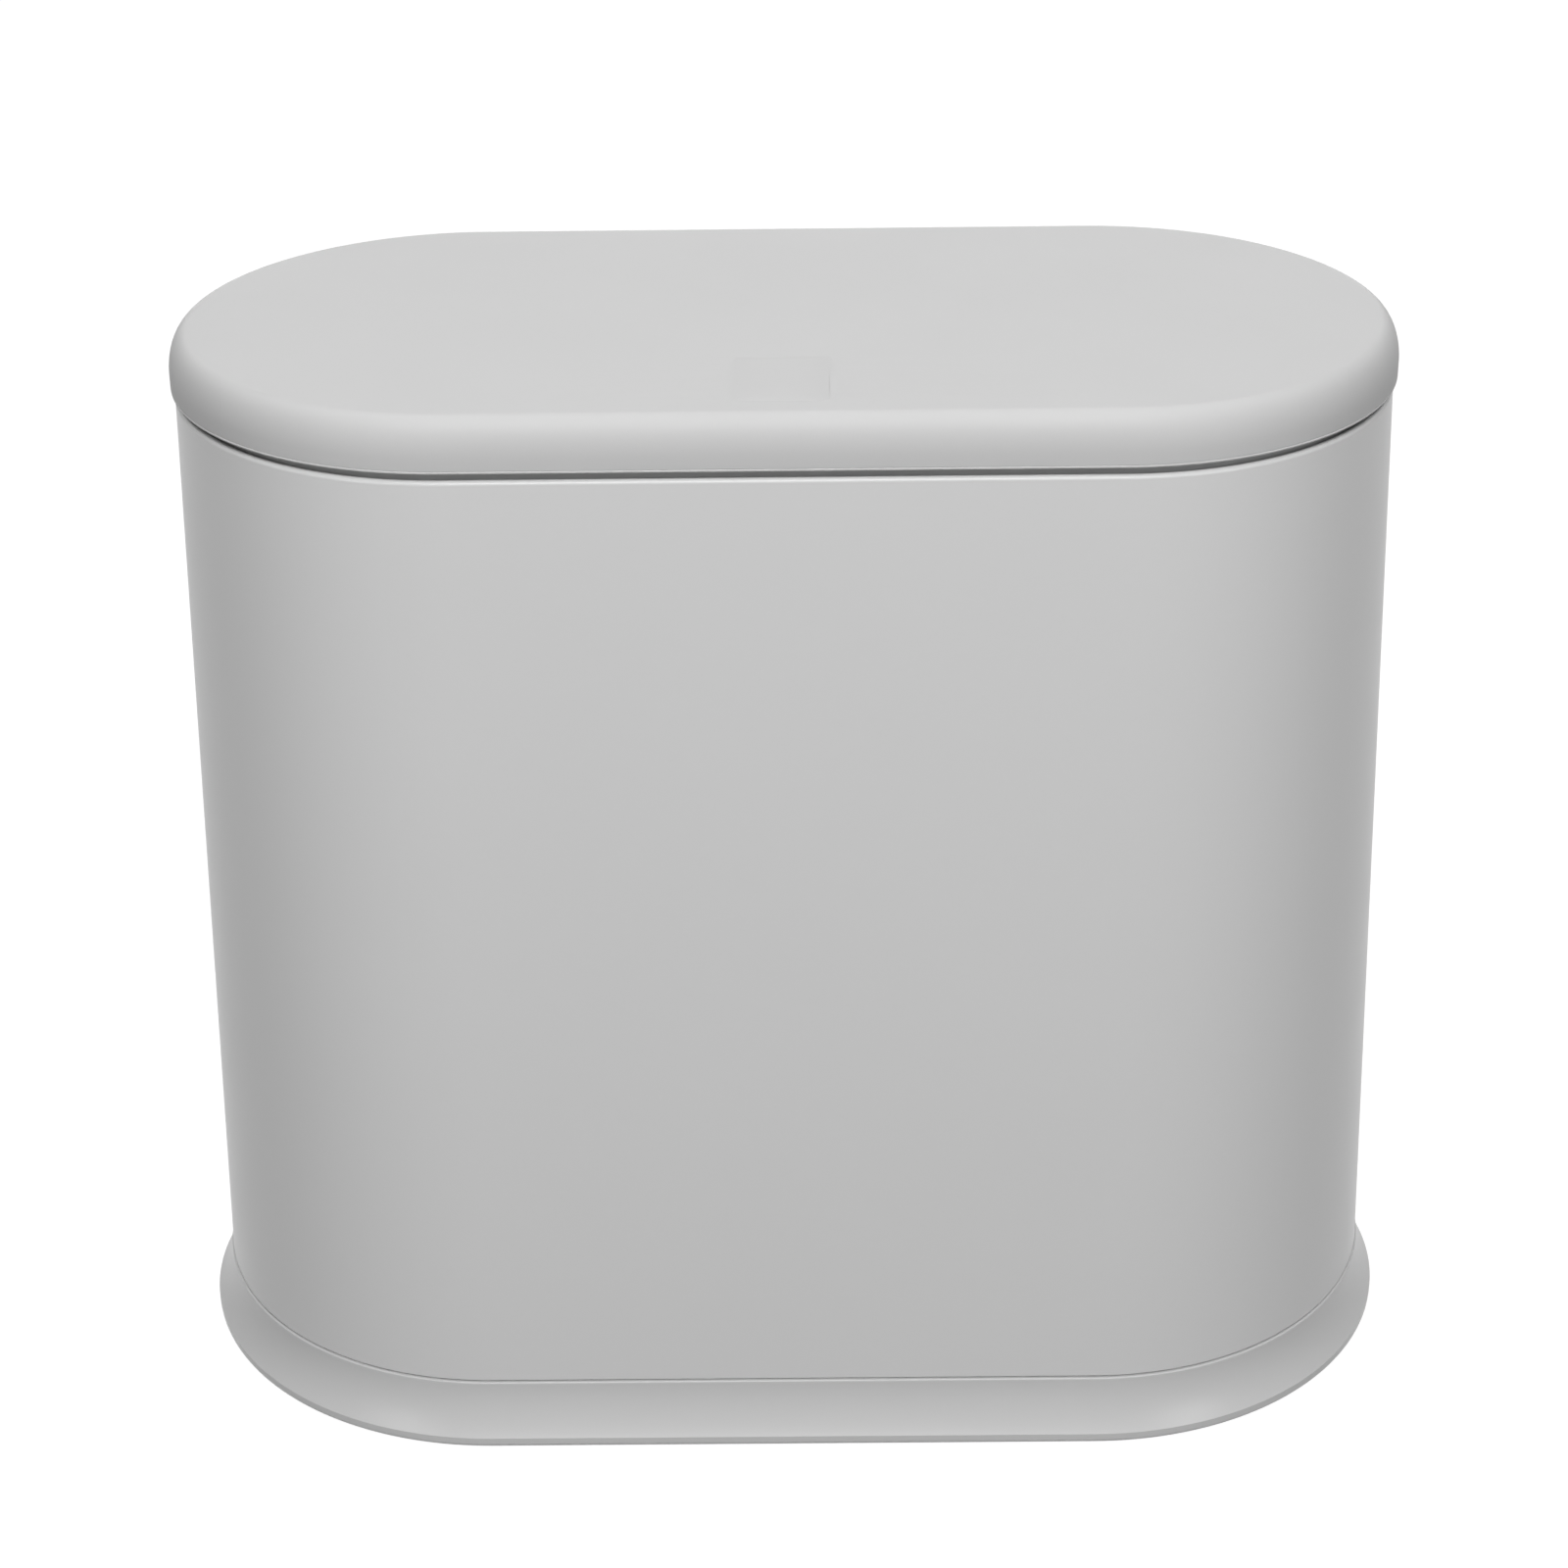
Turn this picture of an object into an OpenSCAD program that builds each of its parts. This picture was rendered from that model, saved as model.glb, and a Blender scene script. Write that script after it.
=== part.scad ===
// Push top countertop bin: an obround flared body on a separate base, with a lift-off
// top frame that carries a press-to-open lid on two hidden hinges and a magnetic push latch.
// Millimetres. +Z is up, the front is -Y, and the origin is the middle of the footprint.

/* [Plan] */
// Length of the straight sides, between the centres of the round ends
plan_straight = 104; // [90:1:130]
// End radius of the lid, which is half its depth
lid_r = 48; // [46:0.5:56]

/* [Body] */
// Height of the body shell from the base seam to the rim
body_h = 164.4; // [110:0.5:220]
// How far the rim stands back from the lid's edge
rim_inset = 0.6; // [0.4:0.1:1.2]
// How much larger the radius is at the bottom of the body than at its rim
body_flare = 4.2; // [1:0.1:7]
// Wall of the body shell
body_wall = 2.2; // [1.8:0.1:2.8]
// Thickness of the body's floor
floor_t = 2.4; // [1.8:0.1:4]
// Width of the rounded rim
rim_w = 1.4; // [1.2:0.1:1.7]
// Depth of the step inside the rim that carries the top frame
ledge_drop = 2.6; // [2.6:0.1:4]
// Width of that step
ledge_w = 1.1; // [0.9:0.1:1.6]
// Height of the thicker ring under the step
ledge_h = 3; // [2:0.5:8]
// Height of the rib under the body that locates it in the base
rib_h = 3.5; // [2:0.1:5]
// Thickness of that rib
rib_t = 1.6; // [1:0.1:2]

/* [Base] */
// Height of the base from its underside to the seam
base_h = 11.8; // [10.5:0.1:20]
// How far the foot of the base flares past the bottom of the body
base_flare = 3.4; // [1.5:0.1:6]
// How far the top edge of the base stands out from the body
base_lip = 0.3; // [0.1:0.05:0.6]
// Radius of the rounding along the bottom edge
base_edge = 1; // [0.5:0.1:1.4]
// Shadow gap at the seam
seam_gap = 0.25; // [0.2:0.05:0.5]
// Wall of the base at the seam
base_wall = 2.4; // [1.8:0.1:3]
// Thickness of the bottom plate
plate_t = 2.4; // [1.8:0.1:3]
// Height of the screw pillars in the base, from the underside
pillar_h = 5.2; // [4.8:0.1:6]
// Radius of the screw pillars in the base and under the body
pillar_r = 5; // [4.4:0.1:6]

/* [Feet] */
// Radius of a rubber foot
foot_r = 7; // [6:0.1:8]
// Thickness of a rubber foot
foot_t = 1.6; // [1.4:0.1:2]
// How far a foot stands out of the base
foot_out = 0.8; // [0.5:0.1:1.2]
// How far the feet's centres stand in from the body's bottom edge
foot_inset = 14; // [12:0.5:20]

/* [Base screws] */
// Shank radius
base_screw_r = 1.2; // [1:0.05:1.4]
// Head radius
base_head_r = 2.6; // [2.2:0.1:3.2]
// Head height
base_head_h = 1.6; // [1.2:0.1:1.8]
// Depth of the head's bearing face above the base's underside
base_head_z = 3; // [2.8:0.1:3.2]
// Length under the head
base_screw_l = 7.6; // [5:0.1:8]

/* [Top frame] */
// Thickness of the frame's plate
frame_t = 1.5; // [1.2:0.1:1.6]
// Gap between the latch housing and the mouth's lip, which sets the size of the mouth
mouth_gap = 0.3; // [0.2:0.1:4]
// Thickness of the stiffening lip round the mouth
mouth_lip_t = 1.3; // [1:0.1:1.3]
// Depth of that lip under the plate
mouth_lip_h = 3; // [1:0.1:6]
// Thickness of the skirt that hangs inside the body
skirt_t = 1.6; // [1.2:0.1:2]
// Depth of that skirt under the plate
skirt_h = 10.4; // [5:0.1:20]
// Height of the collar above the plate
collar_h = 2.1; // [1:0.1:2.1]
// Thickness of the collar
collar_t = 1.6; // [1:0.1:2.2]
// How far the collar stands in from the plate's edge
collar_in = 0.3; // [0.2:0.1:0.8]

/* [Lid] */
// Gap between the body's rim and the lid, which is the lid's press travel and a margin
lid_gap = 1.4; // [1.4:0.1:2]
// Wall of the lid cover
lid_wall = 2; // [1.8:0.1:2.1]
// Height of the upright part of the lid's edge
lid_skirt = 2.5; // [2:0.1:4]
// Width of the lid's rounded shoulder, in plan
shoulder_w = 3.4; // [2.8:0.1:5]
// Height of the lid's rounded shoulder
shoulder_h = 6.3; // [6:0.1:9]
// Width of the shoulder on the inside of the lid, in plan
shoulder_in_w = 2.2; // [1.8:0.1:2.8]
// Rise of the lid's domed top
crown = 0.8; // [0.2:0.1:2]
// Rounding of the lid's lower edge
lid_edge = 0.5; // [0.4:0.05:0.7]
// Width of the finger mark
dimple_w = 17; // [12:0.5:22]
// Length of the finger mark
dimple_l = 11; // [8:0.5:16]
// Depth of the finger mark at its front edge
dimple_d = 0.8; // [0.4:0.05:1]
// Corner radius of the finger mark
dimple_r = 4; // [2:0.1:5]
// How far the finger mark stands in from the lid's front edge
dimple_in = 6.8; // [6.4:0.1:10]
// Height of the liner's underside above the lid's lower edge
liner_up = 2; // [1.9:0.05:2.1]
// Thickness of the liner
liner_t = 1.4; // [1.2:0.05:1.5]
// Radius of the posts that the liner is screwed to
post_r = 3; // [2.4:0.1:3.6]
// How far the posts stand out from the centres of the round ends, along the bin
post_x = 14; // [10:0.5:20]
// How far the posts stand from the middle plane
post_y = 24; // [18:0.5:26]

/* [Small screws] */
// Shank radius
screw_r = 0.9; // [0.7:0.05:1]
// Head radius
screw_head_r = 1.8; // [1.5:0.05:1.95]
// Head height
screw_head_h = 1.1; // [0.9:0.05:1.2]
// Length of a liner screw under its head
liner_screw_l = 4; // [3:0.1:4.4]
// Length of a latch screw under its head
latch_screw_l = 6.5; // [5:0.1:7]
// Length of a striker screw
striker_screw_l = 3.6; // [3:0.1:4]

/* [Hinge] */
// How far the hinge axis stands in from the lid's back edge
hinge_in = 4.6; // [4.5:0.05:4.8]
// Height of the hinge axis above the lid's lower edge
hinge_up = 4; // [3.9:0.05:4.2]
// Radius of a hinge pin
pin_r = 1; // [0.8:0.05:1.1]
// Radius of the hinge knuckles and ears
knuckle_r = 2.2; // [2:0.05:2.3]
// Width of a knuckle on the frame
knuckle_w = 7.6; // [5:0.1:9]
// Width of an ear on the liner
ear_w = 3.4; // [2.6:0.1:5]
// Distance from the middle of the bin to the inner ear
hinge_x = 26; // [10:0.5:34]
// Reach of the gooseneck arm in front of the axis
neck_reach = 9.5; // [9:0.1:11]
// Thickness of the gooseneck arm
neck_t = 3; // [2:0.1:3.4]
// Room in front of the gooseneck arm, in the liner's slot and the collar's break
neck_room = 4.5; // [3:0.5:6]
// How far the arm's underside lies below the axis
neck_low = 2; // [1.8:0.05:2]
// How far the arm's top lies above the axis at the knuckle
neck_high = 1.5; // [1:0.1:1.6]
// How far below the axis the arm's front face starts to lean back
neck_elbow = 1.5; // [1:0.1:2]
// How far the arm's front face leans back
neck_lean = 2; // [1.5:0.1:3]
// Bevel in the arm's inner corner
neck_bevel = 1; // [0.6:0.1:1.2]
// Thickness of the seat for a torsion spring's fixed leg
seat_t = 1.3; // [1:0.1:1.6]
// Radius of a pin's head
pin_head_r = 1.7; // [1.4:0.05:1.9]
// Thickness of a pin's head
pin_head_t = 0.8; // [0.5:0.1:1.2]
// Gap between a pin's head and the inner ear
pin_head_gap = 0.1; // [0.05:0.05:0.2]
// How far a pin reaches into the outer ear
pin_reach = 2.5; // [2:0.1:2.6]

/* [Lid springs] */
// Wire radius of a torsion spring
lid_wire_r = 0.35; // [0.25:0.05:0.4]
// Mean coil radius
lid_coil_r = 1.75; // [1.65:0.05:1.8]
// Full turns, before the last half turn
lid_turns = 4; // [3:1:4]
// Distance from one turn to the next
lid_pitch = 0.95; // [0.9:0.05:1.1]
// Length of the legs
lid_leg = 9; // [7:0.1:9.4]
// How far the fixed leg's end lies below the coil
lid_leg_drop = 0.8; // [0.6:0.1:1]
// How far the free leg's end lies above the coil
lid_leg_rise = 0.5; // [0.3:0.1:0.6]

/* [Latch] */
// Width of the latch housing
housing_w = 10.4; // [9.6:0.1:12]
// Depth of the latch housing, front to back
housing_d = 10; // [9.6:0.1:11]
// Wall of the latch housing in front of the plunger's way
housing_wall = 1; // [0.8:0.1:1.4]
// Height of the latch housing
housing_h = 23; // [21:0.1:30]
// Thickness of the floor in the latch housing
housing_floor = 2; // [1:0.1:3]
// Overall width across the latch's screw ears
ears_w = 25; // [22:0.1:30]
// Height of the latch's screw ears
ears_h = 6.4; // [6:0.1:7]
// Radius of the plunger
plunger_r = 3; // [2.8:0.05:3.2]
// Length of the plunger
plunger_l = 17.5; // [16:0.1:18]
// Radius of the magnet in the plunger's tip
magnet_r = 2.3; // [1.8:0.05:2.4]
// Thickness of the magnet
magnet_t = 2; // [1.2:0.1:3]
// How far the magnet stands out of the plunger
magnet_out = 0.3; // [0.1:0.05:0.5]
// Gap between the magnet and the striker plate with the lid shut
magnet_gap = 0.25; // [0.25:0.01:0.35]
// Thickness of the steel striker plate
striker_t = 1; // [0.8:0.05:1.1]
// Width of the striker plate
striker_w = 18; // [17:0.1:24]
// Depth of the striker plate, front to back
striker_d = 8; // [7:0.1:9]
// Distance between the two striker screws
striker_screws = 12; // [11.4:0.1:13]
// Wire radius of the latch spring
latch_wire_r = 0.2; // [0.15:0.05:0.25]
// Mean coil radius of the latch spring
latch_coil_r = 2.2; // [2:0.05:2.4]
// Turns of the latch spring
latch_turns = 6; // [5:1:7]
// Wire radius of the cam follower
follower_r = 0.35; // [0.3:0.05:0.4]
// Length of the cam follower from its pivot to its tip
follower_l = 10; // [9:0.1:11]
// Height of the follower's pivot above the floor of the housing
follower_z = 2.5; // [2:0.1:3]
// Depth of the cam groove in the plunger
groove_d = 0.9; // [0.7:0.05:1.1]
// Thickness of the clip that closes the side of the housing
clip_t = 0.6; // [0.4:0.05:1]
// Play of the wire in its slot and groove
wire_play = 0.15; // [0.1:0.05:0.3]

/* [Motion] */
// Degrees that the lid is pressed down to work the latch
press_angle = 0.78; // [0.5:0.01:0.8]
// Degrees that the latch lifts the lid
pop_angle = 4.5; // [3:0.1:5]
// Degrees that the cam follower sways as the plunger comes all the way out
sway_angle = 2.8; // [2:0.1:4]

/* [Fits] */
// Gap between parts that seat in one another
seat_gap = 0.3; // [0.2:0.05:0.4]
// Looser gap between the frame's skirt and the body
loose_gap = 0.4; // [0.3:0.05:0.6]
// Radial play of a pin or plunger in its bore
run_gap = 0.04; // [0.02:0.01:0.08]
// Play between parts that turn side by side
side_gap = 0.4; // [0.2:0.05:0.5]
// Radial gap between a screw and its hole
screw_gap = 0.3; // [0.2:0.05:0.5]
// Gap round a countersunk head, and at each end of the latch spring
close_gap = 0.05; // [0.03:0.01:0.08]

/* [Hidden] */

shell_colour = [0.80, 0.80, 0.80];
frame_colour = [0.66, 0.66, 0.66];
rubber_colour = [0.25, 0.25, 0.25];
steel_colour = [0.62, 0.63, 0.65];

turn_fn = 128;   // facets of the round ends in a preview
small_fn = 48;   // facets of bores, pins and screws in a preview
arc_n = 8;       // chords along a rounded edge
wire_n = 8;      // sides of a spring's wire
coil_n = 20;     // rings in each turn of a spring
eps = 0.01;      // overlap between shapes that are joined or cut

// Heights, from the table up
base_z = foot_out;
seam_z = base_z + base_h;
rim_z = seam_z + body_h;
ledge_z = rim_z - ledge_drop;
frame_z = ledge_z + frame_t;
lid_z = rim_z + lid_gap;
shoulder_z = lid_z + lid_skirt;
lid_top_z = shoulder_z + shoulder_h;
liner_z = lid_z + liner_up;
post_z = liner_z + liner_t;
hinge_z = lid_z + hinge_up;
floor_z = seam_z + floor_t;
pillar_z = base_z + pillar_h;

// Radii of the round ends
rim_r = lid_r - rim_inset;
bottom_r = rim_r + body_flare;
rim_in_r = rim_r - rim_w;
ledge_in_r = rim_in_r - ledge_w;
plate_r = rim_in_r - seat_gap;
skirt_r = ledge_in_r - loose_gap;
collar_r = plate_r - collar_in;
base_top_r = bottom_r + base_lip;
base_in_r = base_top_r - base_wall;
base_r = bottom_r + base_flare;
lid_in_r = lid_r - lid_wall;
liner_r = lid_in_r - seat_gap;
mouth_r = skirt_r - skirt_t - seat_gap - housing_d - mouth_gap - mouth_lip_t;

// Places
end_x = plan_straight / 2;
hinge_y = lid_r - hinge_in;
foot_reach = bottom_r - foot_inset;
latch_z = ledge_z - housing_h;
latch_floor_z = latch_z + housing_floor;
latch_screw_x = (housing_w + ears_w) / 4;
striker_z = liner_z - striker_t;
magnet_z = striker_z - magnet_gap - magnet_t;
plunger_top_z = magnet_z + magnet_t - magnet_out;
plunger_z = plunger_top_z - plunger_l;
bore_r = plunger_r + run_gap;
follower_x = bore_r + follower_r + wire_play;
pivot_z = latch_floor_z + follower_z;
tip_z = pivot_z + follower_l;
clip_h = ledge_z - ears_h - seat_gap - latch_floor_z + housing_floor / 2;

// The plunger follows the lid on a wide arc about the hinge axis, so its foot swings out and back
swing_front = (hinge_z - plunger_z) * sin(pop_angle);
swing_back = (hinge_z - plunger_z) * sin(press_angle);
housing_y = -(skirt_r - skirt_t - seat_gap);
latch_y = housing_y + housing_wall + swing_front + bore_r;
latch_arm = hinge_y - latch_y;
pop_travel = latch_arm * pop_angle * PI / 180;
press_travel = latch_arm * press_angle * PI / 180;
lane_w = 2 * (follower_r + wire_play);
lane_shift = (hinge_z - tip_z) * sin(pop_angle) + latch_arm * (1 - cos(pop_angle))
    - follower_l * sin(sway_angle);

// Places along a hinge
neck_x = hinge_x + ear_w + side_gap;
coil_x = neck_x + knuckle_w;
spring_x = coil_x + side_gap + lid_wire_r + wire_play;
outer_ear_x = 2 * spring_x - coil_x + lid_pitch * (lid_turns + 0.5);

function body_r(z) = rim_r + body_flare * (rim_z - z) / body_h;

// Points along an arc of an ellipse, from angle a to angle b
function arc(cx, cy, rx, ry, a, b, n = arc_n) =
    [for (i = [0:n]) let (t = a + (b - a) * i / n) [cx + rx * cos(t), cy + ry * sin(t)]];

// Sweeps a profile of radius and height round an obround with straight sides
module obround(straight = plan_straight) {
    for (side = [-1, 1]) {
        translate([side * straight / 2, 0, 0])
            rotate([0, 0, -side * 90])
                rotate_extrude(angle = 180, $fn = turn_fn) children();
        mirror([0, side > 0 ? 1 : 0, 0])
            translate([-straight / 2, 0, 0])
                rotate([90, 0, 90])
                    linear_extrude(straight) children();
    }
}

// A cylinder along +X
module rod_x(r, length, fn = small_fn) {
    rotate([0, 90, 0]) cylinder(r = r, h = length, $fn = fn);
}

// Place i of the four feet, and of the four posts in the lid
function foot_place(i) =
    [(i % 2 == 0 ? -1 : 1) * (end_x + foot_reach * cos(45)),
     (i < 2 ? -1 : 1) * foot_reach * sin(45)];

function post_place(i) =
    [(i % 2 == 0 ? -1 : 1) * (end_x + post_x), (i < 2 ? -1 : 1) * post_y];

// A tube of triangles along points, each ring square to the path
function unit(v) = v / norm(v);
function tangent(p, i) = unit(p[min(i + 1, len(p) - 1)] - p[max(i - 1, 0)]);
function ring(p, i, r, ref) =
    let (t = tangent(p, i), a = unit(ref - (ref * t) * t), b = cross(t, a))
    [for (k = [0:wire_n - 1]) let (w = 360 * k / wire_n) p[i] + r * (cos(w) * a + sin(w) * b)];

module wire(p, r, ref) {
    points = [for (i = [0:len(p) - 1]) each ring(p, i, r, ref)];
    last = (len(p) - 1) * wire_n;
    sides = [for (i = [0:len(p) - 2], k = [0:wire_n - 1])
        let (a = i * wire_n + k, b = i * wire_n + (k + 1) % wire_n)
        each [[a, b, a + wire_n], [b, b + wire_n, a + wire_n]]];
    caps = concat(
        [for (k = [1:wire_n - 2]) [0, k + 1, k]],
        [for (k = [1:wire_n - 2]) [last, last + k, last + k + 1]]);
    polyhedron(points, concat(sides, caps));
}

// A screw with its head under the bearing face at the origin and its shank along +Z
module screw(r, length, head_r, head_h) {
    slot = head_r * 1.1;
    difference() {
        union() {
            translate([0, 0, -head_h]) cylinder(r = head_r, h = head_h, $fn = small_fn);
            translate([0, 0, -eps]) cylinder(r = r, h = length - r + eps, $fn = small_fn);
            translate([0, 0, length - r]) cylinder(r1 = r, r2 = r / 3, h = r, $fn = small_fn);
        }
        for (a = [0, 90])
            translate([0, 0, -head_h]) rotate([0, 0, a])
                cube([slot, head_r / 4, head_h], center = true);
    }
}

// ---- Body and base ----

module body_shell() {
    floor_in_r = body_r(floor_z) - body_wall;
    rib_r = base_in_r - seat_gap;
    under_z = ledge_z - ledge_h;
    wall_z = under_z - (body_r(under_z) - body_wall - ledge_in_r);
    outline = concat(
        [[0, seam_z], [rib_r - rib_t, seam_z], [rib_r - rib_t, seam_z - rib_h],
         [rib_r, seam_z - rib_h], [rib_r, seam_z], [bottom_r, seam_z]],
        arc(rim_r - rim_w / 2, rim_z - rim_w / 2, rim_w / 2, rim_w / 2, 0, 180),
        [[rim_in_r, ledge_z], [ledge_in_r, ledge_z], [ledge_in_r, under_z],
         [body_r(wall_z) - body_wall, wall_z], [floor_in_r, floor_z], [0, floor_z]]);
    color(shell_colour) difference() {
        union() {
            obround() polygon(outline);
            for (i = [0:3]) translate([each foot_place(i), pillar_z])
                cylinder(r = pillar_r, h = seam_z - pillar_z + eps, $fn = small_fn);
        }
        for (i = [0:3]) translate([each foot_place(i), pillar_z - eps])
            cylinder(r = base_screw_r, h = seam_z - pillar_z + floor_t / 2, $fn = small_fn);
    }
}

module base_plinth() {
    top_z = seam_z - seam_gap;
    flare_z = base_z + base_edge * 2;
    flare_h = top_z - base_lip - flare_z;
    flare_w = base_r - base_top_r;
    flare_r = (flare_h * flare_h + flare_w * flare_w) / (2 * flare_w);
    flare_a = asin(flare_h / flare_r);
    inner_z = base_z + plate_t;
    outline = concat(
        [[0, base_z]],
        arc(base_r - base_edge, base_z + base_edge, base_edge, base_edge, -90, 0),
        [[base_r, flare_z]],
        arc(base_top_r + flare_r, top_z - base_lip, flare_r, flare_r, 180 + flare_a, 180),
        [[base_top_r - base_lip, top_z], [base_in_r, top_z],
         [base_in_r, (top_z + inner_z) / 2], [base_r - base_wall, inner_z], [0, inner_z]]);
    color(shell_colour) difference() {
        union() {
            obround() polygon(outline);
            for (i = [0:3]) translate([each foot_place(i), base_z])
                cylinder(r = pillar_r, h = pillar_h, $fn = small_fn);
        }
        for (i = [0:3]) translate([each foot_place(i), base_z]) {
            translate([0, 0, -eps])
                cylinder(r = foot_r + screw_gap, h = foot_t - foot_out + eps, $fn = small_fn);
            translate([0, 0, -eps])
                cylinder(r = base_head_r + screw_gap, h = base_head_z + eps, $fn = small_fn);
            cylinder(r = base_screw_r + screw_gap, h = pillar_h + eps, $fn = small_fn);
        }
    }
}

module foot(i) {
    bevel = foot_out / 2;
    color(rubber_colour) translate([each foot_place(i), 0]) {
        cylinder(r1 = foot_r - bevel, r2 = foot_r, h = bevel, $fn = small_fn);
        translate([0, 0, bevel]) cylinder(r = foot_r, h = foot_t - bevel, $fn = small_fn);
    }
}

module base_screw(i) {
    color(steel_colour) translate([each foot_place(i), base_z + base_head_z])
        screw(base_screw_r, base_screw_l, base_head_r, base_head_h);
}

// ---- Top frame and its latch ----

// The arm that rises through the liner and reaches back to the hinge axis, in the plane of Y and Z
module neck_outline() {
    inner = neck_reach - neck_t;
    polygon([
        [0, -neck_low], [-inner + neck_bevel, -neck_low], [-inner, -neck_low - neck_bevel],
        [-inner, frame_z - hinge_z - eps], [-neck_reach, frame_z - hinge_z - eps],
        [-neck_reach, -neck_elbow], [-neck_reach + neck_lean, neck_bevel], [0, neck_high]
    ]);
}

// The arm on one side, with a seat beside it for the torsion spring's fixed leg
module neck() {
    seat_z = -lid_coil_r - lid_leg_drop - lid_wire_r;
    translate([neck_x, hinge_y, hinge_z]) {
        difference() {
            union() {
                rod_x(knuckle_r, knuckle_w);
                rotate([90, 0, 90]) linear_extrude(knuckle_w) neck_outline();
            }
            translate([-eps, 0, 0]) rod_x(pin_r + run_gap, knuckle_w + 2 * eps);
        }
        translate([knuckle_w - eps, -neck_reach, seat_z - seat_t])
            cube([spring_x - coil_x + lid_wire_r * 2 + eps, neck_t, seat_t]);
    }
}

// The plunger's way through, long enough from front to back for its arc
module latch_way(r, z, h) {
    for (y = [-swing_front, swing_back]) translate([0, latch_y + y, z])
        cylinder(r = r, h = h, $fn = small_fn);
    translate([-r, latch_y - swing_front, z]) cube([2 * r, swing_front + swing_back, h]);
}

module top_frame() {
    lip_r = mouth_r + mouth_lip_t;
    plate = [[mouth_r, ledge_z - mouth_lip_h], [lip_r, ledge_z - mouth_lip_h],
        [lip_r, ledge_z], [skirt_r - skirt_t, ledge_z],
        [skirt_r - skirt_t, ledge_z - skirt_h], [skirt_r, ledge_z - skirt_h],
        [skirt_r, ledge_z], [plate_r, ledge_z], [plate_r, frame_z], [mouth_r, frame_z]];
    back_y = hinge_y - neck_reach - neck_room;
    color(frame_colour) difference() {
        union() {
            obround() polygon(plate);
            difference() {
                obround() translate([collar_r - collar_t, frame_z - eps])
                    square([collar_t, collar_h + eps]);
                translate([-end_x - lid_r, back_y, frame_z])
                    cube([2 * (end_x + lid_r), lid_r, collar_h + eps]);
            }
            for (side = [0, 1]) mirror([side, 0, 0]) neck();
        }
        latch_way(bore_r + seat_gap, ledge_z - eps, frame_t + 2 * eps);
        for (side = [-1, 1]) translate([side * latch_screw_x, latch_y, ledge_z - eps])
            cylinder(r = screw_r + screw_gap, h = frame_t + 2 * eps, $fn = small_fn);
    }
}

module latch_housing() {
    slot_d = lane_w + 2 * follower_l * sin(sway_angle);
    color(frame_colour) difference() {
        union() {
            translate([-housing_w / 2, housing_y, latch_z]) cube([housing_w, housing_d, housing_h]);
            translate([-ears_w / 2, housing_y, ledge_z - ears_h]) cube([ears_w, housing_d, ears_h]);
        }
        latch_way(bore_r, latch_floor_z, housing_h);
        for (side = [-1, 1])
            translate([side * latch_screw_x, latch_y, ledge_z - latch_screw_l + frame_t])
                cylinder(r = screw_r, h = latch_screw_l, $fn = small_fn);
        translate([0, latch_y - slot_d / 2, pivot_z - lane_w / 2])
            cube([housing_w, slot_d, follower_l + lane_w]);
    }
}

module latch_clip() {
    color(frame_colour) difference() {
        translate([housing_w / 2, housing_y, latch_floor_z - housing_floor / 2])
            cube([clip_t, housing_d, clip_h]);
        translate([housing_w / 2 - eps, latch_y, pivot_z])
            rod_x(follower_r + run_gap, clip_t + 2 * eps);
    }
}

module latch_screw(side) {
    color(steel_colour) translate([side * latch_screw_x, latch_y, frame_z])
        rotate([180, 0, 0]) screw(screw_r, latch_screw_l, screw_head_r, screw_head_h);
}

// Coil round Z between the floor of the housing and the plunger
module latch_spring() {
    low = latch_floor_z + latch_wire_r + close_gap;
    high = plunger_z - latch_wire_r - close_gap;
    n = latch_turns * coil_n;
    path = [for (i = [0:n]) let (w = 360 * i / coil_n)
        [latch_coil_r * cos(w), latch_y + latch_coil_r * sin(w), low + (high - low) * i / n]];
    color(steel_colour) wire(path, latch_wire_r, [0, 0, 1]);
}

// Two slanting lanes, out and back, that the follower's tip runs in
module cam_groove() {
    slant = atan(lane_shift / pop_travel);
    for (side = [-1, 1])
        translate([plunger_r - groove_d, 0, tip_z])
            rotate([-side * slant, 0, 0])
                translate([0, -lane_w / 2, -(pop_travel + lane_w / 2) / cos(slant)])
                    cube([plunger_r, lane_w, (pop_travel + press_travel + lane_w) / cos(slant)]);
}

module latch_plunger() {
    color(frame_colour) translate([0, latch_y, 0]) difference() {
        translate([0, 0, plunger_z]) cylinder(r = plunger_r, h = plunger_l, $fn = small_fn);
        translate([0, 0, magnet_z]) cylinder(r = magnet_r, h = magnet_t, $fn = small_fn);
        cam_groove();
    }
}

module latch_magnet() {
    color(steel_colour) translate([0, latch_y, magnet_z])
        cylinder(r = magnet_r, h = magnet_t, $fn = small_fn);
}

// A wire with one end turned out into the clip and the other turned in to the cam groove
module cam_follower() {
    tip = follower_x - (plunger_r - groove_d) - wire_play;
    leg = housing_w / 2 + clip_t - follower_x;
    color(steel_colour) translate([follower_x, latch_y, 0]) {
        translate([0, 0, pivot_z]) {
            sphere(r = follower_r, $fn = small_fn);
            cylinder(r = follower_r, h = follower_l, $fn = small_fn);
            rod_x(follower_r, leg);
        }
        translate([0, 0, tip_z]) {
            sphere(r = follower_r, $fn = small_fn);
            translate([-tip, 0, 0]) rod_x(follower_r, tip);
        }
    }
}

// ---- Lid ----

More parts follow.
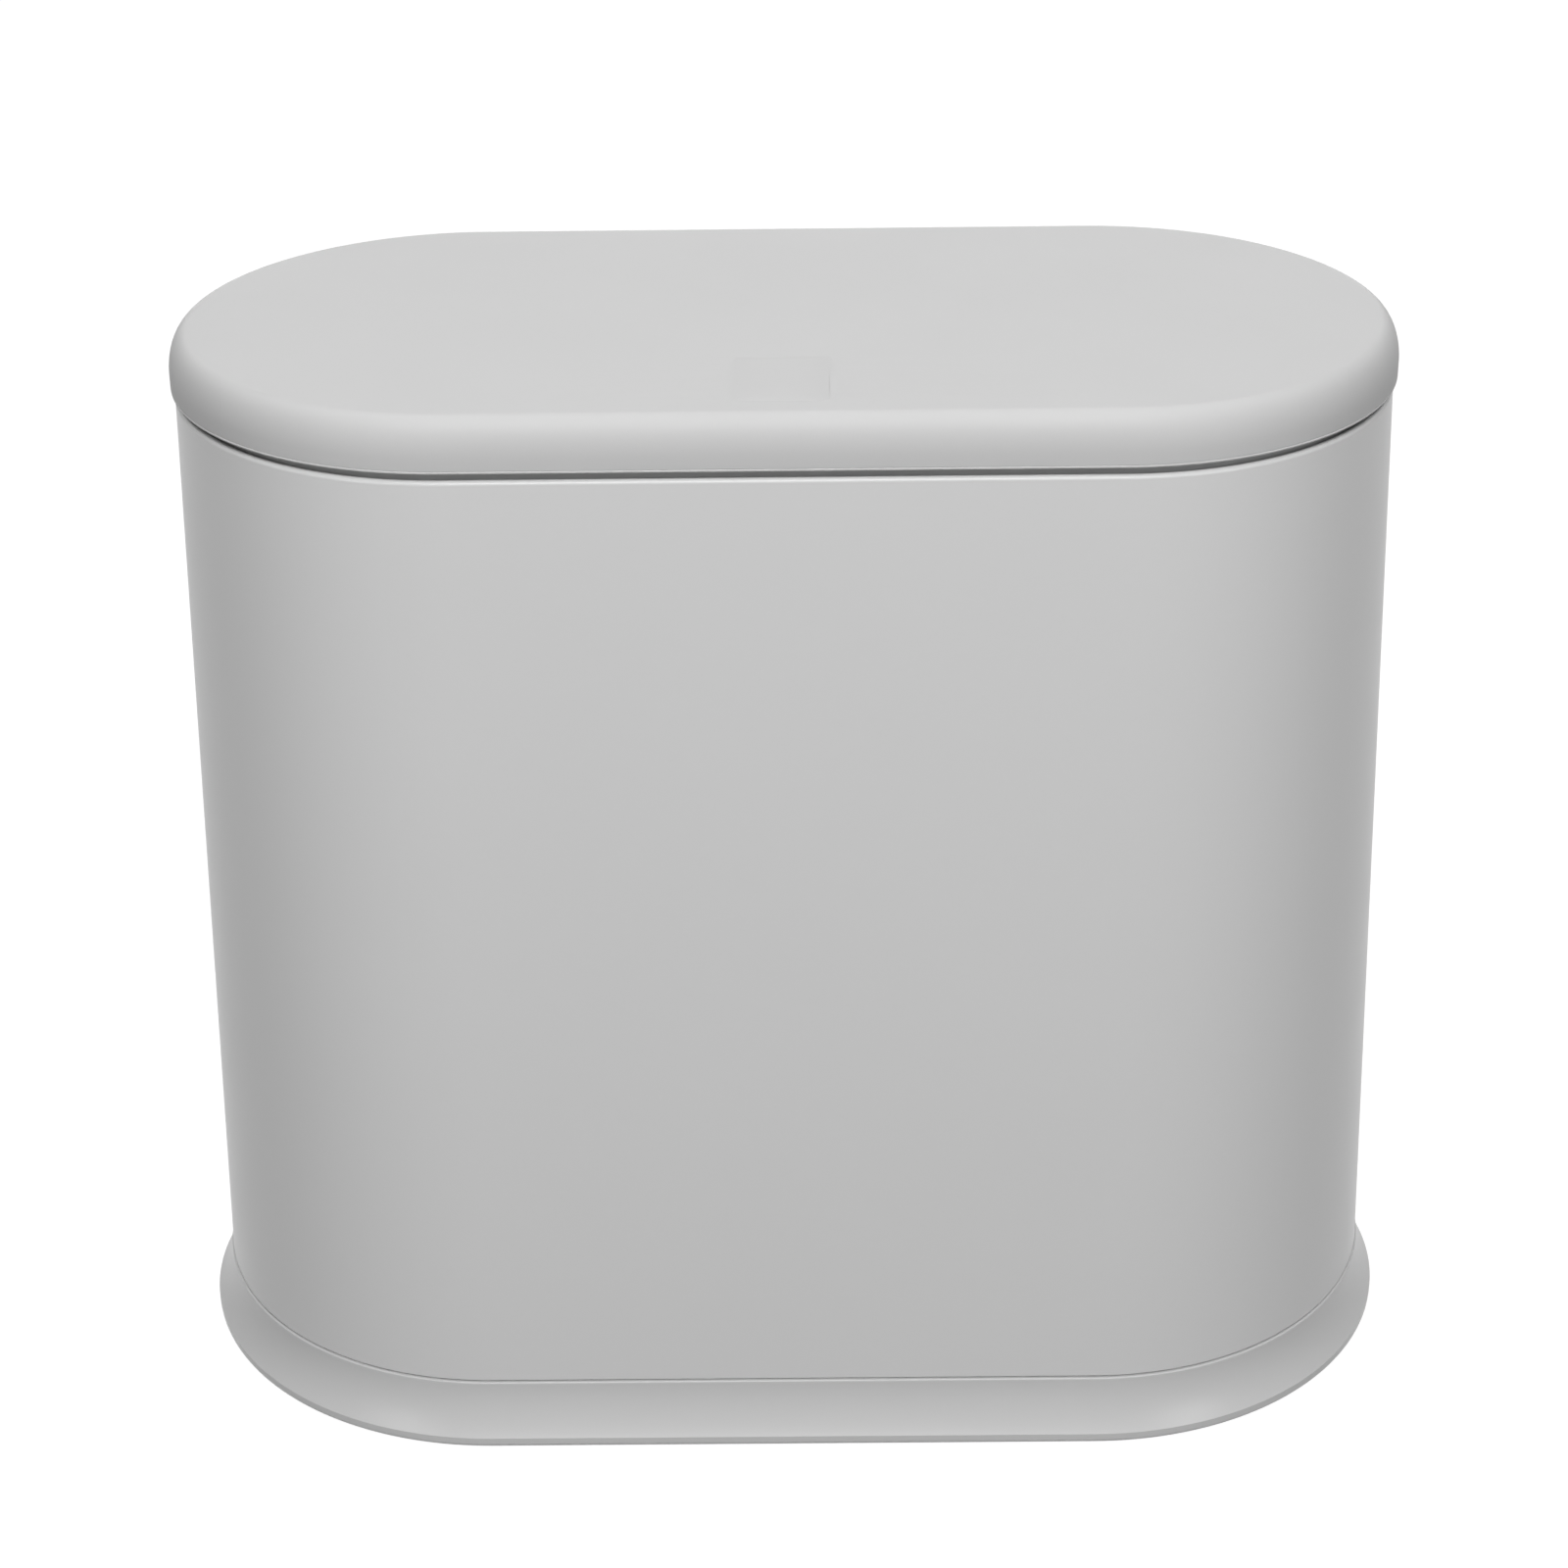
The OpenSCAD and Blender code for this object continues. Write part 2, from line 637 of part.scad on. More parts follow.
module lid_cover() {
    inner_top_z = lid_top_z - lid_wall;
    dome_r = lid_r - shoulder_w;
    dimple_y = -(lid_r - dimple_in);
    outline = concat(
        [[lid_in_r, lid_z]],
        arc(lid_r - lid_edge, lid_z + lid_edge, lid_edge, lid_edge, -90, 0),
        arc(dome_r, shoulder_z, shoulder_w, shoulder_h, 0, 90),
        [for (i = [1:arc_n]) let (t = 1 - i / arc_n) [dome_r * t, lid_top_z + crown * (1 - t * t)]],
        [for (i = [0:arc_n]) let (t = i / arc_n)
            [(lid_in_r - shoulder_in_w) * t, inner_top_z + crown * (1 - t * t)]],
        arc(lid_in_r - shoulder_in_w, shoulder_z, shoulder_in_w, inner_top_z - shoulder_z,
            90 - 90 / arc_n, 0, arc_n - 1));
    surface_z = lid_top_z + crown * (1 - pow(dimple_y / dome_r, 2));
    back_z = lid_top_z + crown * (1 - pow((dimple_y + dimple_l) / dome_r, 2));
    tilt = atan((back_z - surface_z + dimple_d) / dimple_l);
    color(shell_colour) difference() {
        union() {
            obround() polygon(outline);
            for (i = [0:3]) translate([each post_place(i), post_z])
                cylinder(r = post_r, h = inner_top_z - post_z + lid_wall / 2, $fn = small_fn);
        }
        for (i = [0:3]) translate([each post_place(i), post_z - eps])
            cylinder(r = screw_r, h = liner_screw_l - liner_t + eps, $fn = small_fn);
        translate([0, dimple_y, surface_z - dimple_d]) rotate([tilt, 0, 0])
            linear_extrude(dimple_l) {
                for (side = [-1, 1]) translate([side * (dimple_w / 2 - dimple_r), dimple_r])
                    circle(r = dimple_r, $fn = small_fn);
                translate([-dimple_w / 2, dimple_r]) square([dimple_w, dimple_l]);
                translate([dimple_r - dimple_w / 2, 0]) square([dimple_w - 2 * dimple_r, dimple_l]);
            }
    }
}

// One ear of the liner: a round eye over a foot that joins the plate
module ear(x) {
    translate([x, hinge_y, hinge_z]) rod_x(knuckle_r, ear_w);
    translate([x, hinge_y - knuckle_r, liner_z]) cube([ear_w, 2 * knuckle_r, hinge_up - liner_up]);
}

module lid_liner() {
    slot_y = hinge_y - neck_reach - neck_room;
    color(shell_colour) difference() {
        union() {
            difference() {
                obround() translate([0, liner_z]) square([liner_r, liner_t]);
                for (side = [0, 1]) mirror([side, 0, 0])
                    translate([hinge_x + ear_w, slot_y, liner_z - eps])
                        cube([outer_ear_x - hinge_x - ear_w, lid_r, liner_t + 2 * eps]);
            }
            for (side = [0, 1]) mirror([side, 0, 0]) {
                ear(hinge_x);
                ear(outer_ear_x);
            }
            for (side = [-1, 1]) translate([side * striker_screws / 2, latch_y, post_z - eps])
                cylinder(r = post_r, h = striker_screw_l - liner_t + eps, $fn = small_fn);
        }
        for (side = [0, 1]) mirror([side, 0, 0]) translate([0, hinge_y, hinge_z]) {
            translate([hinge_x - eps, 0, 0]) rod_x(pin_r + run_gap, ear_w + 2 * eps);
            translate([outer_ear_x - eps, 0, 0]) rod_x(pin_r + run_gap, pin_reach + side_gap);
            translate([hinge_x - pin_head_t - 2 * side_gap, 0, 0])
                rod_x(pin_head_r + seat_gap, pin_head_t + 2 * side_gap);
        }
        for (i = [0:3]) translate([each post_place(i), liner_z - eps])
            cylinder(r = screw_r + screw_gap, h = liner_t + 2 * eps, $fn = small_fn);
        for (side = [-1, 1]) translate([side * striker_screws / 2, latch_y, liner_z - eps])
            cylinder(r = screw_r, h = striker_screw_l - striker_t + eps, $fn = small_fn);
    }
}

module liner_screw(i) {
    color(steel_colour) translate([each post_place(i), liner_z])
        screw(screw_r, liner_screw_l, screw_head_r, screw_head_h);
}

module striker_plate() {
    color(steel_colour) translate([0, latch_y, striker_z]) difference() {
        translate([-striker_w / 2, -striker_d / 2, 0]) cube([striker_w, striker_d, striker_t]);
        for (side = [-1, 1]) translate([side * striker_screws / 2, 0, -eps])
            cylinder(r1 = screw_head_r + eps, r2 = screw_r + close_gap,
                h = striker_t + 2 * eps, $fn = small_fn);
    }
}

// A countersunk screw, flush with the striker plate
module striker_screw(side) {
    color(steel_colour) translate([side * striker_screws / 2, latch_y, striker_z]) difference() {
        union() {
            cylinder(r1 = screw_head_r - close_gap, r2 = screw_r, h = striker_t, $fn = small_fn);
            cylinder(r = screw_r, h = striker_screw_l - screw_r, $fn = small_fn);
            translate([0, 0, striker_screw_l - screw_r])
                cylinder(r1 = screw_r, r2 = screw_r / 3, h = screw_r, $fn = small_fn);
        }
        for (a = [0, 90]) rotate([0, 0, a])
            cube([screw_head_r, screw_head_r / 4, striker_t], center = true);
    }
}

// ---- Hinge pins and their springs ----

module hinge_pin(side) {
    head_x = hinge_x - pin_head_gap;
    color(steel_colour) mirror([side < 0 ? 1 : 0, 0, 0]) translate([0, hinge_y, hinge_z]) {
        translate([head_x - pin_head_t, 0, 0]) rod_x(pin_head_r, pin_head_t);
        translate([head_x - eps, 0, 0]) rod_x(pin_r, outer_ear_x + pin_reach - head_x + eps);
    }
}

// One leg lies on the frame's seat, the coil goes round the pin, and the other leg lifts the lid
module torsion_spring(side) {
    n = (lid_turns + 0.5) * coil_n;
    coil = [for (i = [0:n]) let (w = 360 * i / coil_n - 90)
        [spring_x + lid_pitch * i / coil_n,
         hinge_y + lid_coil_r * cos(w), hinge_z + lid_coil_r * sin(w)]];
    fixed = [spring_x, hinge_y - lid_leg, hinge_z - lid_coil_r - lid_leg_drop];
    free = [coil[n][0], hinge_y - lid_leg, hinge_z + lid_coil_r + lid_leg_rise];
    color(steel_colour) mirror([side < 0 ? 1 : 0, 0, 0])
        wire(concat([fixed], coil, [free]), lid_wire_r, [1, 0, 0]);
}

body_shell();
base_plinth();
for (i = [0:3]) {
    foot(i);
    base_screw(i);
    liner_screw(i);
}
top_frame();
latch_housing();
latch_clip();
latch_spring();
latch_screw(-1);  // latch_screw_1
latch_screw(1);  // latch_screw_2
torsion_spring(-1);  // torsion_spring_left
torsion_spring(1);  // torsion_spring_right
latch_plunger();
latch_magnet();
cam_follower();
hinge_pin(-1);  // hinge_pin_left
hinge_pin(1);  // hinge_pin_right
lid_cover();
lid_liner();
striker_plate();
striker_screw(-1);  // striker_screw_1
striker_screw(1);  // striker_screw_2
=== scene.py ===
"""A push top countertop bin: an obround body on a flared base under a press-to-open lid.

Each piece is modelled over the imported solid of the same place, which keeps its motion. Sizes are in
millimetres while a piece is shaped, and each finished piece is brought to metres.
"""

from __future__ import annotations

import logging  # noqa: E402
import math  # noqa: E402
from collections.abc import Callable, Iterable, Sequence  # noqa: E402
from dataclasses import dataclass, field  # noqa: E402
from enum import Enum  # noqa: E402

import bmesh  # noqa: E402
import bpy  # noqa: E402
from mathutils import Matrix, Vector  # noqa: E402


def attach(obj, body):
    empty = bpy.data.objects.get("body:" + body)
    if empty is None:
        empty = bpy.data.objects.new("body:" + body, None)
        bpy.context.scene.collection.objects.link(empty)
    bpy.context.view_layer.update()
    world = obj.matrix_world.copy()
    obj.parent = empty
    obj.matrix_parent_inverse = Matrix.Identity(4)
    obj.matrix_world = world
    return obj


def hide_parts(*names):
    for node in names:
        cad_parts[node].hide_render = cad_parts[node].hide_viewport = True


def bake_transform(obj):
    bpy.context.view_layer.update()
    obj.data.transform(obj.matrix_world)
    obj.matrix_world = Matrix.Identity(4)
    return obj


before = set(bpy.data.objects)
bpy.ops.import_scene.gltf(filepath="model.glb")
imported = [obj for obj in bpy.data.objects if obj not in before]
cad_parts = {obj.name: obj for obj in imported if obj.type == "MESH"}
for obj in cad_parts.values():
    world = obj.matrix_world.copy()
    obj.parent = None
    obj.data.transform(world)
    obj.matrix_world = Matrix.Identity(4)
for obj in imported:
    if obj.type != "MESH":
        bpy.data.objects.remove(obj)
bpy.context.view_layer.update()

log = logging.getLogger("bin")

METRES = 0.001  # one millimetre in metres
OVERLAP = 0.02  # how far shapes reach into each other where they are joined or cut
PAST = 1.0  # how far a tool or a joined shape starts beyond the face that it works on
NEAR = 0.01  # how far from its level an edge may lie and still be picked
MERGE = 0.0005  # points closer than this are one point
SMOOTH_ANGLE = math.radians(32)
TURN = 2 * math.pi
UP = Vector((0, 0, 1))

Point = tuple[float, float]
Place = tuple[float, float, float]


class Part(Enum):
    """What a selection picks."""

    POINT = 0
    EDGE = 1
    FACE = 2


class Join(Enum):
    """How one shape is put together with another."""

    CUT = "DIFFERENCE"
    ADD = "UNION"


class Axis(Enum):
    """The direction that a round piece lies along, as a turn from +Z."""

    X = (0.0, math.pi / 2, 0.0)
    Z = (0.0, 0.0, 0.0)


class Body(Enum):
    """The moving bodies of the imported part."""

    BIN = "bin"
    FRAME = "frame"
    FOLLOWER = "follower"
    LATCH = "latch_and_pins"
    LID = "lid"


@dataclass(frozen=True)
class Span:
    """Where a spring goes over from one body to another, in millimetres."""

    first: Body
    second: Body
    start: Place
    end: Place


def arc(centre: Point, radii: Point, start: float, end: float, steps: int = 10) -> list[Point]:
    """Points along an arc of an ellipse.

    Args:
        centre: The middle of the ellipse.
        radii: Its two half widths.
        start: The first angle, in degrees.
        end: The last angle, in degrees.
        steps: How many chords the arc has.

    Returns:
        The points, first and last included.
    """
    angles = [math.radians(start + (end - start) * i / steps) for i in range(steps + 1)]
    return [(centre[0] + radii[0] * math.cos(a), centre[1] + radii[1] * math.sin(a)) for a in angles]


def middle(element: bmesh.types.BMVert | bmesh.types.BMEdge | bmesh.types.BMFace) -> Vector:
    """The middle of a point, edge or face."""
    if isinstance(element, bmesh.types.BMVert):
        return element.co.copy()
    return sum((v.co for v in element.verts), Vector()) / len(element.verts)


class Work:
    """A mesh in the making, in millimetres, shaped with the operators of edit mode."""

    def __init__(self, name: str) -> None:
        """Takes the object that was just added, and brings its place into its mesh.

        Args:
            name: What the object is called.
        """
        self.obj = bpy.context.object
        self.obj.name = name
        self.obj.data.name = name
        bpy.ops.object.transform_apply(location=True, rotation=True, scale=True)

    @staticmethod
    def clear() -> None:
        """Leaves edit mode and deselects everything."""
        if bpy.context.mode != "OBJECT":
            bpy.ops.object.mode_set(mode="OBJECT")
        bpy.ops.object.select_all(action="DESELECT")

    @classmethod
    def rod(cls, name: str, radius: float, low: Sequence[float], length: float,
            along: Axis = Axis.Z, top: float | None = None, sides: int = 48) -> Work:
        """A round blank, straight or tapered.

        Args:
            name: What it is called.
            radius: Its radius at the low end.
            low: The middle of its low end.
            length: How long it is.
            along: Its direction.
            top: Its radius at the far end, if that differs.
            sides: How many sides it has.

        Returns:
            The blank.
        """
        cls.clear()
        step = Vector((length / 2, 0, 0)) if along is Axis.X else Vector((0, 0, length / 2))
        bpy.ops.mesh.primitive_cone_add(
            vertices=sides, radius1=radius, radius2=radius if top is None else top, depth=length,
            end_fill_type="NGON", location=Vector(low) + step, rotation=along.value)
        return cls(name)

    @classmethod
    def block(cls, name: str, low: Sequence[float], high: Sequence[float]) -> Work:
        """A rectangular blank between two corners.

        Args:
            name: What it is called.
            low: The corner with the least coordinates.
            high: The corner with the greatest.

        Returns:
            The blank.
        """
        cls.clear()
        a, b = Vector(low), Vector(high)
        bpy.ops.mesh.primitive_cube_add(size=1, location=(a + b) / 2)
        bpy.context.object.scale = b - a
        return cls(name)

    @classmethod
    def line(cls, name: str, points: Iterable[Sequence[float]], closed: bool = True) -> Work:
        """A line drawn from point to point by extruding its last point.

        Args:
            name: What it is called.
            points: The places that it passes.
            closed: Whether it comes back to its first point.

        Returns:
            The line, still in edit mode.
        """
        places = [Vector(p) for p in points]
        cls.clear()
        bpy.ops.mesh.primitive_plane_add(size=1, location=(0, 0, 0))
        work = cls(name)
        work.edit()
        bpy.ops.mesh.select_all(action="SELECT")
        bpy.ops.mesh.merge(type="CENTER")
        bpy.ops.transform.translate(value=places[0])
        if closed:
            places.append(places[0])
        for here, there in zip(places, places[1:]):
            bpy.ops.mesh.extrude_region_move(TRANSFORM_OT_translate={"value": there - here})
        work.merge()
        return work

    @classmethod
    def turned(cls, name: str, outline: Sequence[Point], centre: Sequence[float] = (0, 0, 0),
               steps: int = 40) -> Work:
        """A solid turned about +Z.

        Args:
            name: What it is called.
            outline: Points of radius and height, from the axis round to the axis or closed.
            centre: Where the axis stands, and the height that the outline counts from.
            steps: How many sides the turn has.

        Returns:
            The solid.
        """
        x, y, z = centre
        work = cls.line(name, [(x + r, y, z + h) for r, h in outline])
        bpy.ops.mesh.select_all(action="SELECT")
        bpy.ops.mesh.spin(steps=steps, angle=TURN, center=(x, y, z), axis=(0, 0, 1))
        return work.tidy()

    @classmethod
    def obround(cls, name: str, outline: Sequence[Point], half: float, steps: int = 72) -> Work:
        """A solid with two round ends and straight sides between them.

        Args:
            name: What it is called.
            outline: Points of radius and height, all the way round.
            half: Half the length of the straight sides.
            steps: How many sides each round end has.

        Returns:
            The solid.
        """
        work = cls.line(name, [(half, -r, h) for r, h in outline])
        bpy.ops.mesh.select_all(action="SELECT")
        for end in (1, -1):
            bpy.ops.mesh.spin(steps=steps, angle=-math.pi, center=(end * half, 0, 0), axis=(0, 0, 1))
            bpy.ops.mesh.extrude_region_move(TRANSFORM_OT_translate={"value": (-2 * end * half, 0, 0)})
        return work.tidy()

    @classmethod
    def wire(cls, name: str, path: Sequence[Sequence[float]], radius: float, sides: int = 4) -> Work:
        """Round wire that follows a path, with closed ends.

        Args:
            name: What it is called.
            path: The points of its middle line.
            radius: The wire's radius.
            sides: How round it is: the wire has twice this many sides, plus four.

        Returns:
            The wire.
        """
        work = cls.line(name, path, closed=False)
        work.clear()
        work.activate()
        bpy.ops.object.convert(target="CURVE")
        curve = bpy.context.object.data
        curve.bevel_depth = radius
        curve.bevel_resolution = sides
        curve.use_fill_caps = True
        bpy.ops.object.convert(target="MESH")
        work = cls(name)
        return work.tidy()

    def activate(self) -> None:
        """Makes this the selected and active object."""
        self.clear()
        self.obj.select_set(True)
        bpy.context.view_layer.objects.active = self.obj

    def edit(self) -> None:
        """Opens the mesh in edit mode, where points are picked."""
        bpy.context.tool_settings.mesh_select_mode = (True, False, False)
        self.activate()
        bpy.ops.object.mode_set(mode="EDIT")

    def merge(self) -> None:
        """Makes one point of points that lie together."""
        bpy.ops.mesh.select_all(action="SELECT")
        bpy.ops.mesh.remove_doubles(threshold=MERGE)

    def tidy(self) -> Work:
        """Merges points, turns all faces outwards and leaves edit mode.

        Returns:
            This shape.
        """
        self.edit()
        self.merge()
        bpy.ops.mesh.normals_make_consistent(inside=False)
        self.clear()
        return self

    def pick(self, part: Part, test: Callable[[Vector], bool], angle: float = 0.0) -> int:
        """Selects points, edges or faces by their place.

        Args:
            part: What is picked.
            test: Says whether the middle of an element is wanted.
            angle: The least angle between an edge's two faces, in degrees, for edges only.

        Returns:
            How many were picked.
        """
        self.edit()
        bpy.context.tool_settings.mesh_select_mode = tuple(p is part for p in Part)
        bpy.ops.mesh.select_all(action="DESELECT")
        bm = bmesh.from_edit_mesh(self.obj.data)
        found = 0
        for element in (bm.verts, bm.edges, bm.faces)[part.value]:
            wanted = test(middle(element))
            if wanted and angle:
                wanted = element.is_manifold and element.calc_face_angle() > math.radians(angle)
            if wanted:
                element.select_set(True)
                found += 1
        bm.select_flush_mode()
        bmesh.update_edit_mesh(self.obj.data)
        return found

    def soften(self, width: float, steps: int = 3,
               test: Callable[[Vector], bool] = lambda place: True, angle: float = 40) -> Work:
        """Rounds the sharp edges whose middles pass a test.

        Args:
            width: How far the rounding reaches.
            steps: How many faces it has.
            test: Says whether an edge is wanted.
            angle: The least angle between an edge's two faces.

        Returns:
            This shape.
        """
        if self.pick(Part.EDGE, test, angle):
            bpy.ops.mesh.bevel(offset=width, segments=steps, profile=0.5, affect="EDGES")
        self.clear()
        return self

    def thicken(self, step: Sequence[float]) -> Work:
        """Fills a drawn line and extrudes the face along a step.

        Args:
            step: How far and which way.

        Returns:
            This shape.
        """
        self.edit()
        bpy.ops.mesh.select_all(action="SELECT")
        bpy.ops.mesh.edge_face_add()
        bpy.ops.mesh.extrude_region_move(TRANSFORM_OT_translate={"value": Vector(step)})
        return self.tidy()

    def slice(self, place: Sequence[float], normal: Sequence[float]) -> Work:
        """Cuts off what lies beyond a plane, and closes the cut.

        Args:
            place: A point of the plane.
            normal: The direction of what is cut off.

        Returns:
            This shape.
        """
        self.edit()
        bpy.ops.mesh.select_all(action="SELECT")
        bpy.ops.mesh.bisect(plane_co=place, plane_no=normal, use_fill=True, clear_outer=True)
        return self.tidy()

    def combine(self, how: Join, *others: Work) -> Work:
        """Adds or cuts other shapes, which are used up.

        Args:
            how: Whether they are added or cut.
            others: The other shapes.

        Returns:
            This shape.
        """
        for other in others:
            self.activate()
            step = self.obj.modifiers.new("combine", "BOOLEAN")
            step.operation = how.value
            step.solver = "EXACT"
            step.object = other.obj
            bpy.ops.object.modifier_apply(modifier=step.name)
            other.discard()
        return self

    def discard(self) -> None:
        """Removes a shape that is used up or that has been copied."""
        bpy.data.objects.remove(self.obj, do_unlink=True)

    def together(self, other: Work) -> Work:
        """Makes one object of two shapes that stay separate shells.

        Args:
            other: The shape that comes to this one.

        Returns:
            This shape.
        """
        self.activate()
        other.obj.select_set(True)
        bpy.ops.object.join()
        return self

    def placed(self, matrix: Matrix) -> Work:
        """Turns and moves the mesh.

        Args:
            matrix: Where it goes, which may mirror it.

        Returns:
            This shape.
        """
        self.clear()
        self.obj.data.transform(matrix)
        if matrix.determinant() < 0:
            self.obj.data.flip_normals()
        return self

    def copy(self, name: str, matrix: Matrix) -> Work:
        """A second such piece with its own mesh.

        Args:
            name: What it is called.
            matrix: Where it goes.

        Returns:
            The second piece.
        """
        self.activate()
        bpy.ops.object.duplicate(linked=False)
        return Work(name).placed(matrix)

    def finished(self) -> bpy.types.Object:
        """Brings the piece to metres, with smooth rounds and crisp corners.

        Returns:
            The finished object.
        """
        self.edit()
        bpy.ops.mesh.select_all(action="SELECT")
        bpy.ops.mesh.dissolve_degenerate(threshold=MERGE)
        self.clear()
        self.obj.data.transform(Matrix.Scale(METRES, 4))
        self.activate()
        bpy.ops.object.shade_smooth_by_angle(angle=SMOOTH_ANGLE)
        flat = self.obj.modifiers.new("level faces", "WEIGHTED_NORMAL")
        flat.keep_sharp = True
        bpy.ops.object.modifier_apply(modifier=flat.name)
        return self.obj


# ---- Finishes ----


def group_of(name: str, inputs: dict[str, tuple[str, object]], outputs: dict[str, str],
             ) -> bpy.types.NodeTree:
    """A new shader node group with named sockets.

    Args:
        name: What the group is called.
        inputs: For each input, its socket type and its value.
        outputs: For each output, its socket type.

    Returns:
        The group, which holds its input and output nodes.
    """
    tree = bpy.data.node_groups.new(name, "ShaderNodeTree")
    for socket, (kind, value) in inputs.items():
        made = tree.interface.new_socket(socket, in_out="INPUT", socket_type=kind)
        if value is not None:
            made.default_value = value
    for socket, kind in outputs.items():
        tree.interface.new_socket(socket, in_out="OUTPUT", socket_type=kind)
    tree.nodes.new("NodeGroupInput").name = "in"
    tree.nodes.new("NodeGroupOutput").name = "out"
    return tree


FLOAT = "NodeSocketFloat"
COLOUR = "NodeSocketColor"
VECTOR = "NodeSocketVector"
WHITE = (1, 1, 1, 1)


def grey(level: float) -> Place:
    """A neutral grey."""
    return (level, level, level)


@dataclass(frozen=True)
class Noise:
    """How fine a noise is, and how much its finer layers add."""

    scale: float
    detail: float
    rough: float


FLOW_CLOUDS = Noise(28.0, 3.0, 0.55)
PIGMENT = Noise(900.0, 2.0, 0.6)
CLOUD_SHARE = 0.75  # of the flow clouds in the tone, and the pigment has the rest
HANDLED = Noise(60.0, 4.0, 0.6)
SPARKS = Noise(2500.0, 3.0, 0.6)
SHRINK = Noise(90.0, 1.0, 0.4)
SPARK_SHARE = 0.6  # of the spark texture in the relief, and the shrink ripple has the rest
DRAW_LINES = Noise(3000.0, 2.0, 0.7)
DULL_SPOTS = Noise(400.0, 3.0, 0.6)
PLATE_TONES = (0.88, 1.08)  # the darkest and the lightest places of plated metal


class Wiring:
    """Adds nodes to a tree and links them by name."""

    def __init__(self, tree: bpy.types.NodeTree) -> None:
        """Works on one tree."""
        self.tree = tree

    def add(self, kind: str, name: str, links: dict[str | int, object] | None = None,
            **settings: object) -> bpy.types.Node:
        """Adds a node.

        Args:
            kind: The node's type.
            name: What it is called.
            links: For each input, the output socket that feeds it, or its value.
            settings: The node's own properties.

        Returns:
            The node.
        """
        node = self.tree.nodes.new(kind)
        node.name = node.label = name
        for key, value in settings.items():
            setattr(node, key, value)
        for key, value in (links or {}).items():
            if isinstance(value, bpy.types.NodeSocket):
                self.tree.links.new(value, node.inputs[key])
            else:
                node.inputs[key].default_value = value
        return node

    def noise(self, name: str, place: bpy.types.NodeSocket, noise: Noise,
              scale: bpy.types.NodeSocket | None = None) -> bpy.types.NodeSocket:
        """Even noise between 0 and 1.

        Args:
            name: What the node is called.
            place: The place on the piece.
            noise: How fine it is.
            scale: A socket that says how fine it is instead.

        Returns:
            The noise.
        """
        links = {"Vector": place, "Scale": noise.scale if scale is None else scale,
                 "Detail": noise.detail, "Roughness": noise.rough}
        return self.add("ShaderNodeTexNoise", name, links).outputs["Fac"]

    def maths(self, name: str, how: str, a: object, b: object) -> bpy.types.NodeSocket:
        """One sum of two numbers or sockets."""
        return self.add("ShaderNodeMath", name, {0: a, 1: b}, operation=how).outputs[0]

    def mixed(self, name: str, first: bpy.types.NodeSocket, second: bpy.types.NodeSocket,
              share: float) -> bpy.types.NodeSocket:
        """Adds two values up, the first by its share and the second by what is left."""
        return self.maths(name, "ADD", self.maths(f"{name} 1", "MULTIPLY", first, share),
                          self.maths(f"{name} 2", "MULTIPLY", second, 1 - share))

    def between(self, name: str, fac: bpy.types.NodeSocket, low: object, high: object,
                ) -> bpy.types.NodeSocket:
        """Goes from low to high as the factor goes from 0 to 1."""
        return self.add("ShaderNodeMapRange", name,
                        {"Value": fac, "To Min": low, "To Max": high}).outputs[0]

    def tinted(self, colour: bpy.types.NodeSocket, level: bpy.types.NodeSocket,
               ) -> bpy.types.NodeSocket:
        """A colour made lighter or darker by a level."""
        return self.add("ShaderNodeVectorMath", "tinted", {0: colour, "Scale": level},
                        operation="SCALE").outputs["Vector"]


def moulded_skin() -> bpy.types.NodeTree:
    """The skin of moulded plastic: faint flow clouds, fine texture and rubbed gloss.

    Returns:
        The node group.
    """
    tree = group_of(
        "moulded skin",
        {"Place": (VECTOR, None), "Colour": (COLOUR, WHITE), "Clouds": (FLOAT, 0.0),
         "Roughness": (FLOAT, 0.5), "Rubbed": (FLOAT, 0.0), "Grain": (FLOAT, SPARKS.scale)},
        {"Colour": COLOUR, "Roughness": FLOAT, "Height": FLOAT})
    w = Wiring(tree)
    given, out = tree.nodes["in"].outputs, tree.nodes["out"].inputs
    place = given["Place"]
    tone = w.mixed("clouds and pigment", w.noise("flow clouds", place, FLOW_CLOUDS),
                   w.noise("pigment", place, PIGMENT), CLOUD_SHARE)
    dark = w.maths("dark", "SUBTRACT", 1.0, given["Clouds"])
    light = w.maths("light", "ADD", 1.0, given["Clouds"])
    level = w.between("tone", tone, dark, light)
    tree.links.new(w.tinted(given["Colour"], level), out["Colour"])
    hands = w.noise("handled places", place, HANDLED)
    swing = w.maths("swing", "MULTIPLY", w.maths("centred", "SUBTRACT", hands, 0.5),
                    given["Rubbed"])
    tree.links.new(w.maths("roughness", "ADD", given["Roughness"], swing), out["Roughness"])
    height = w.mixed("height", w.noise("spark texture", place, SPARKS, given["Grain"]),
                     w.noise("shrink ripple", place, SHRINK), SPARK_SHARE)
    tree.links.new(height, out["Height"])
    return tree


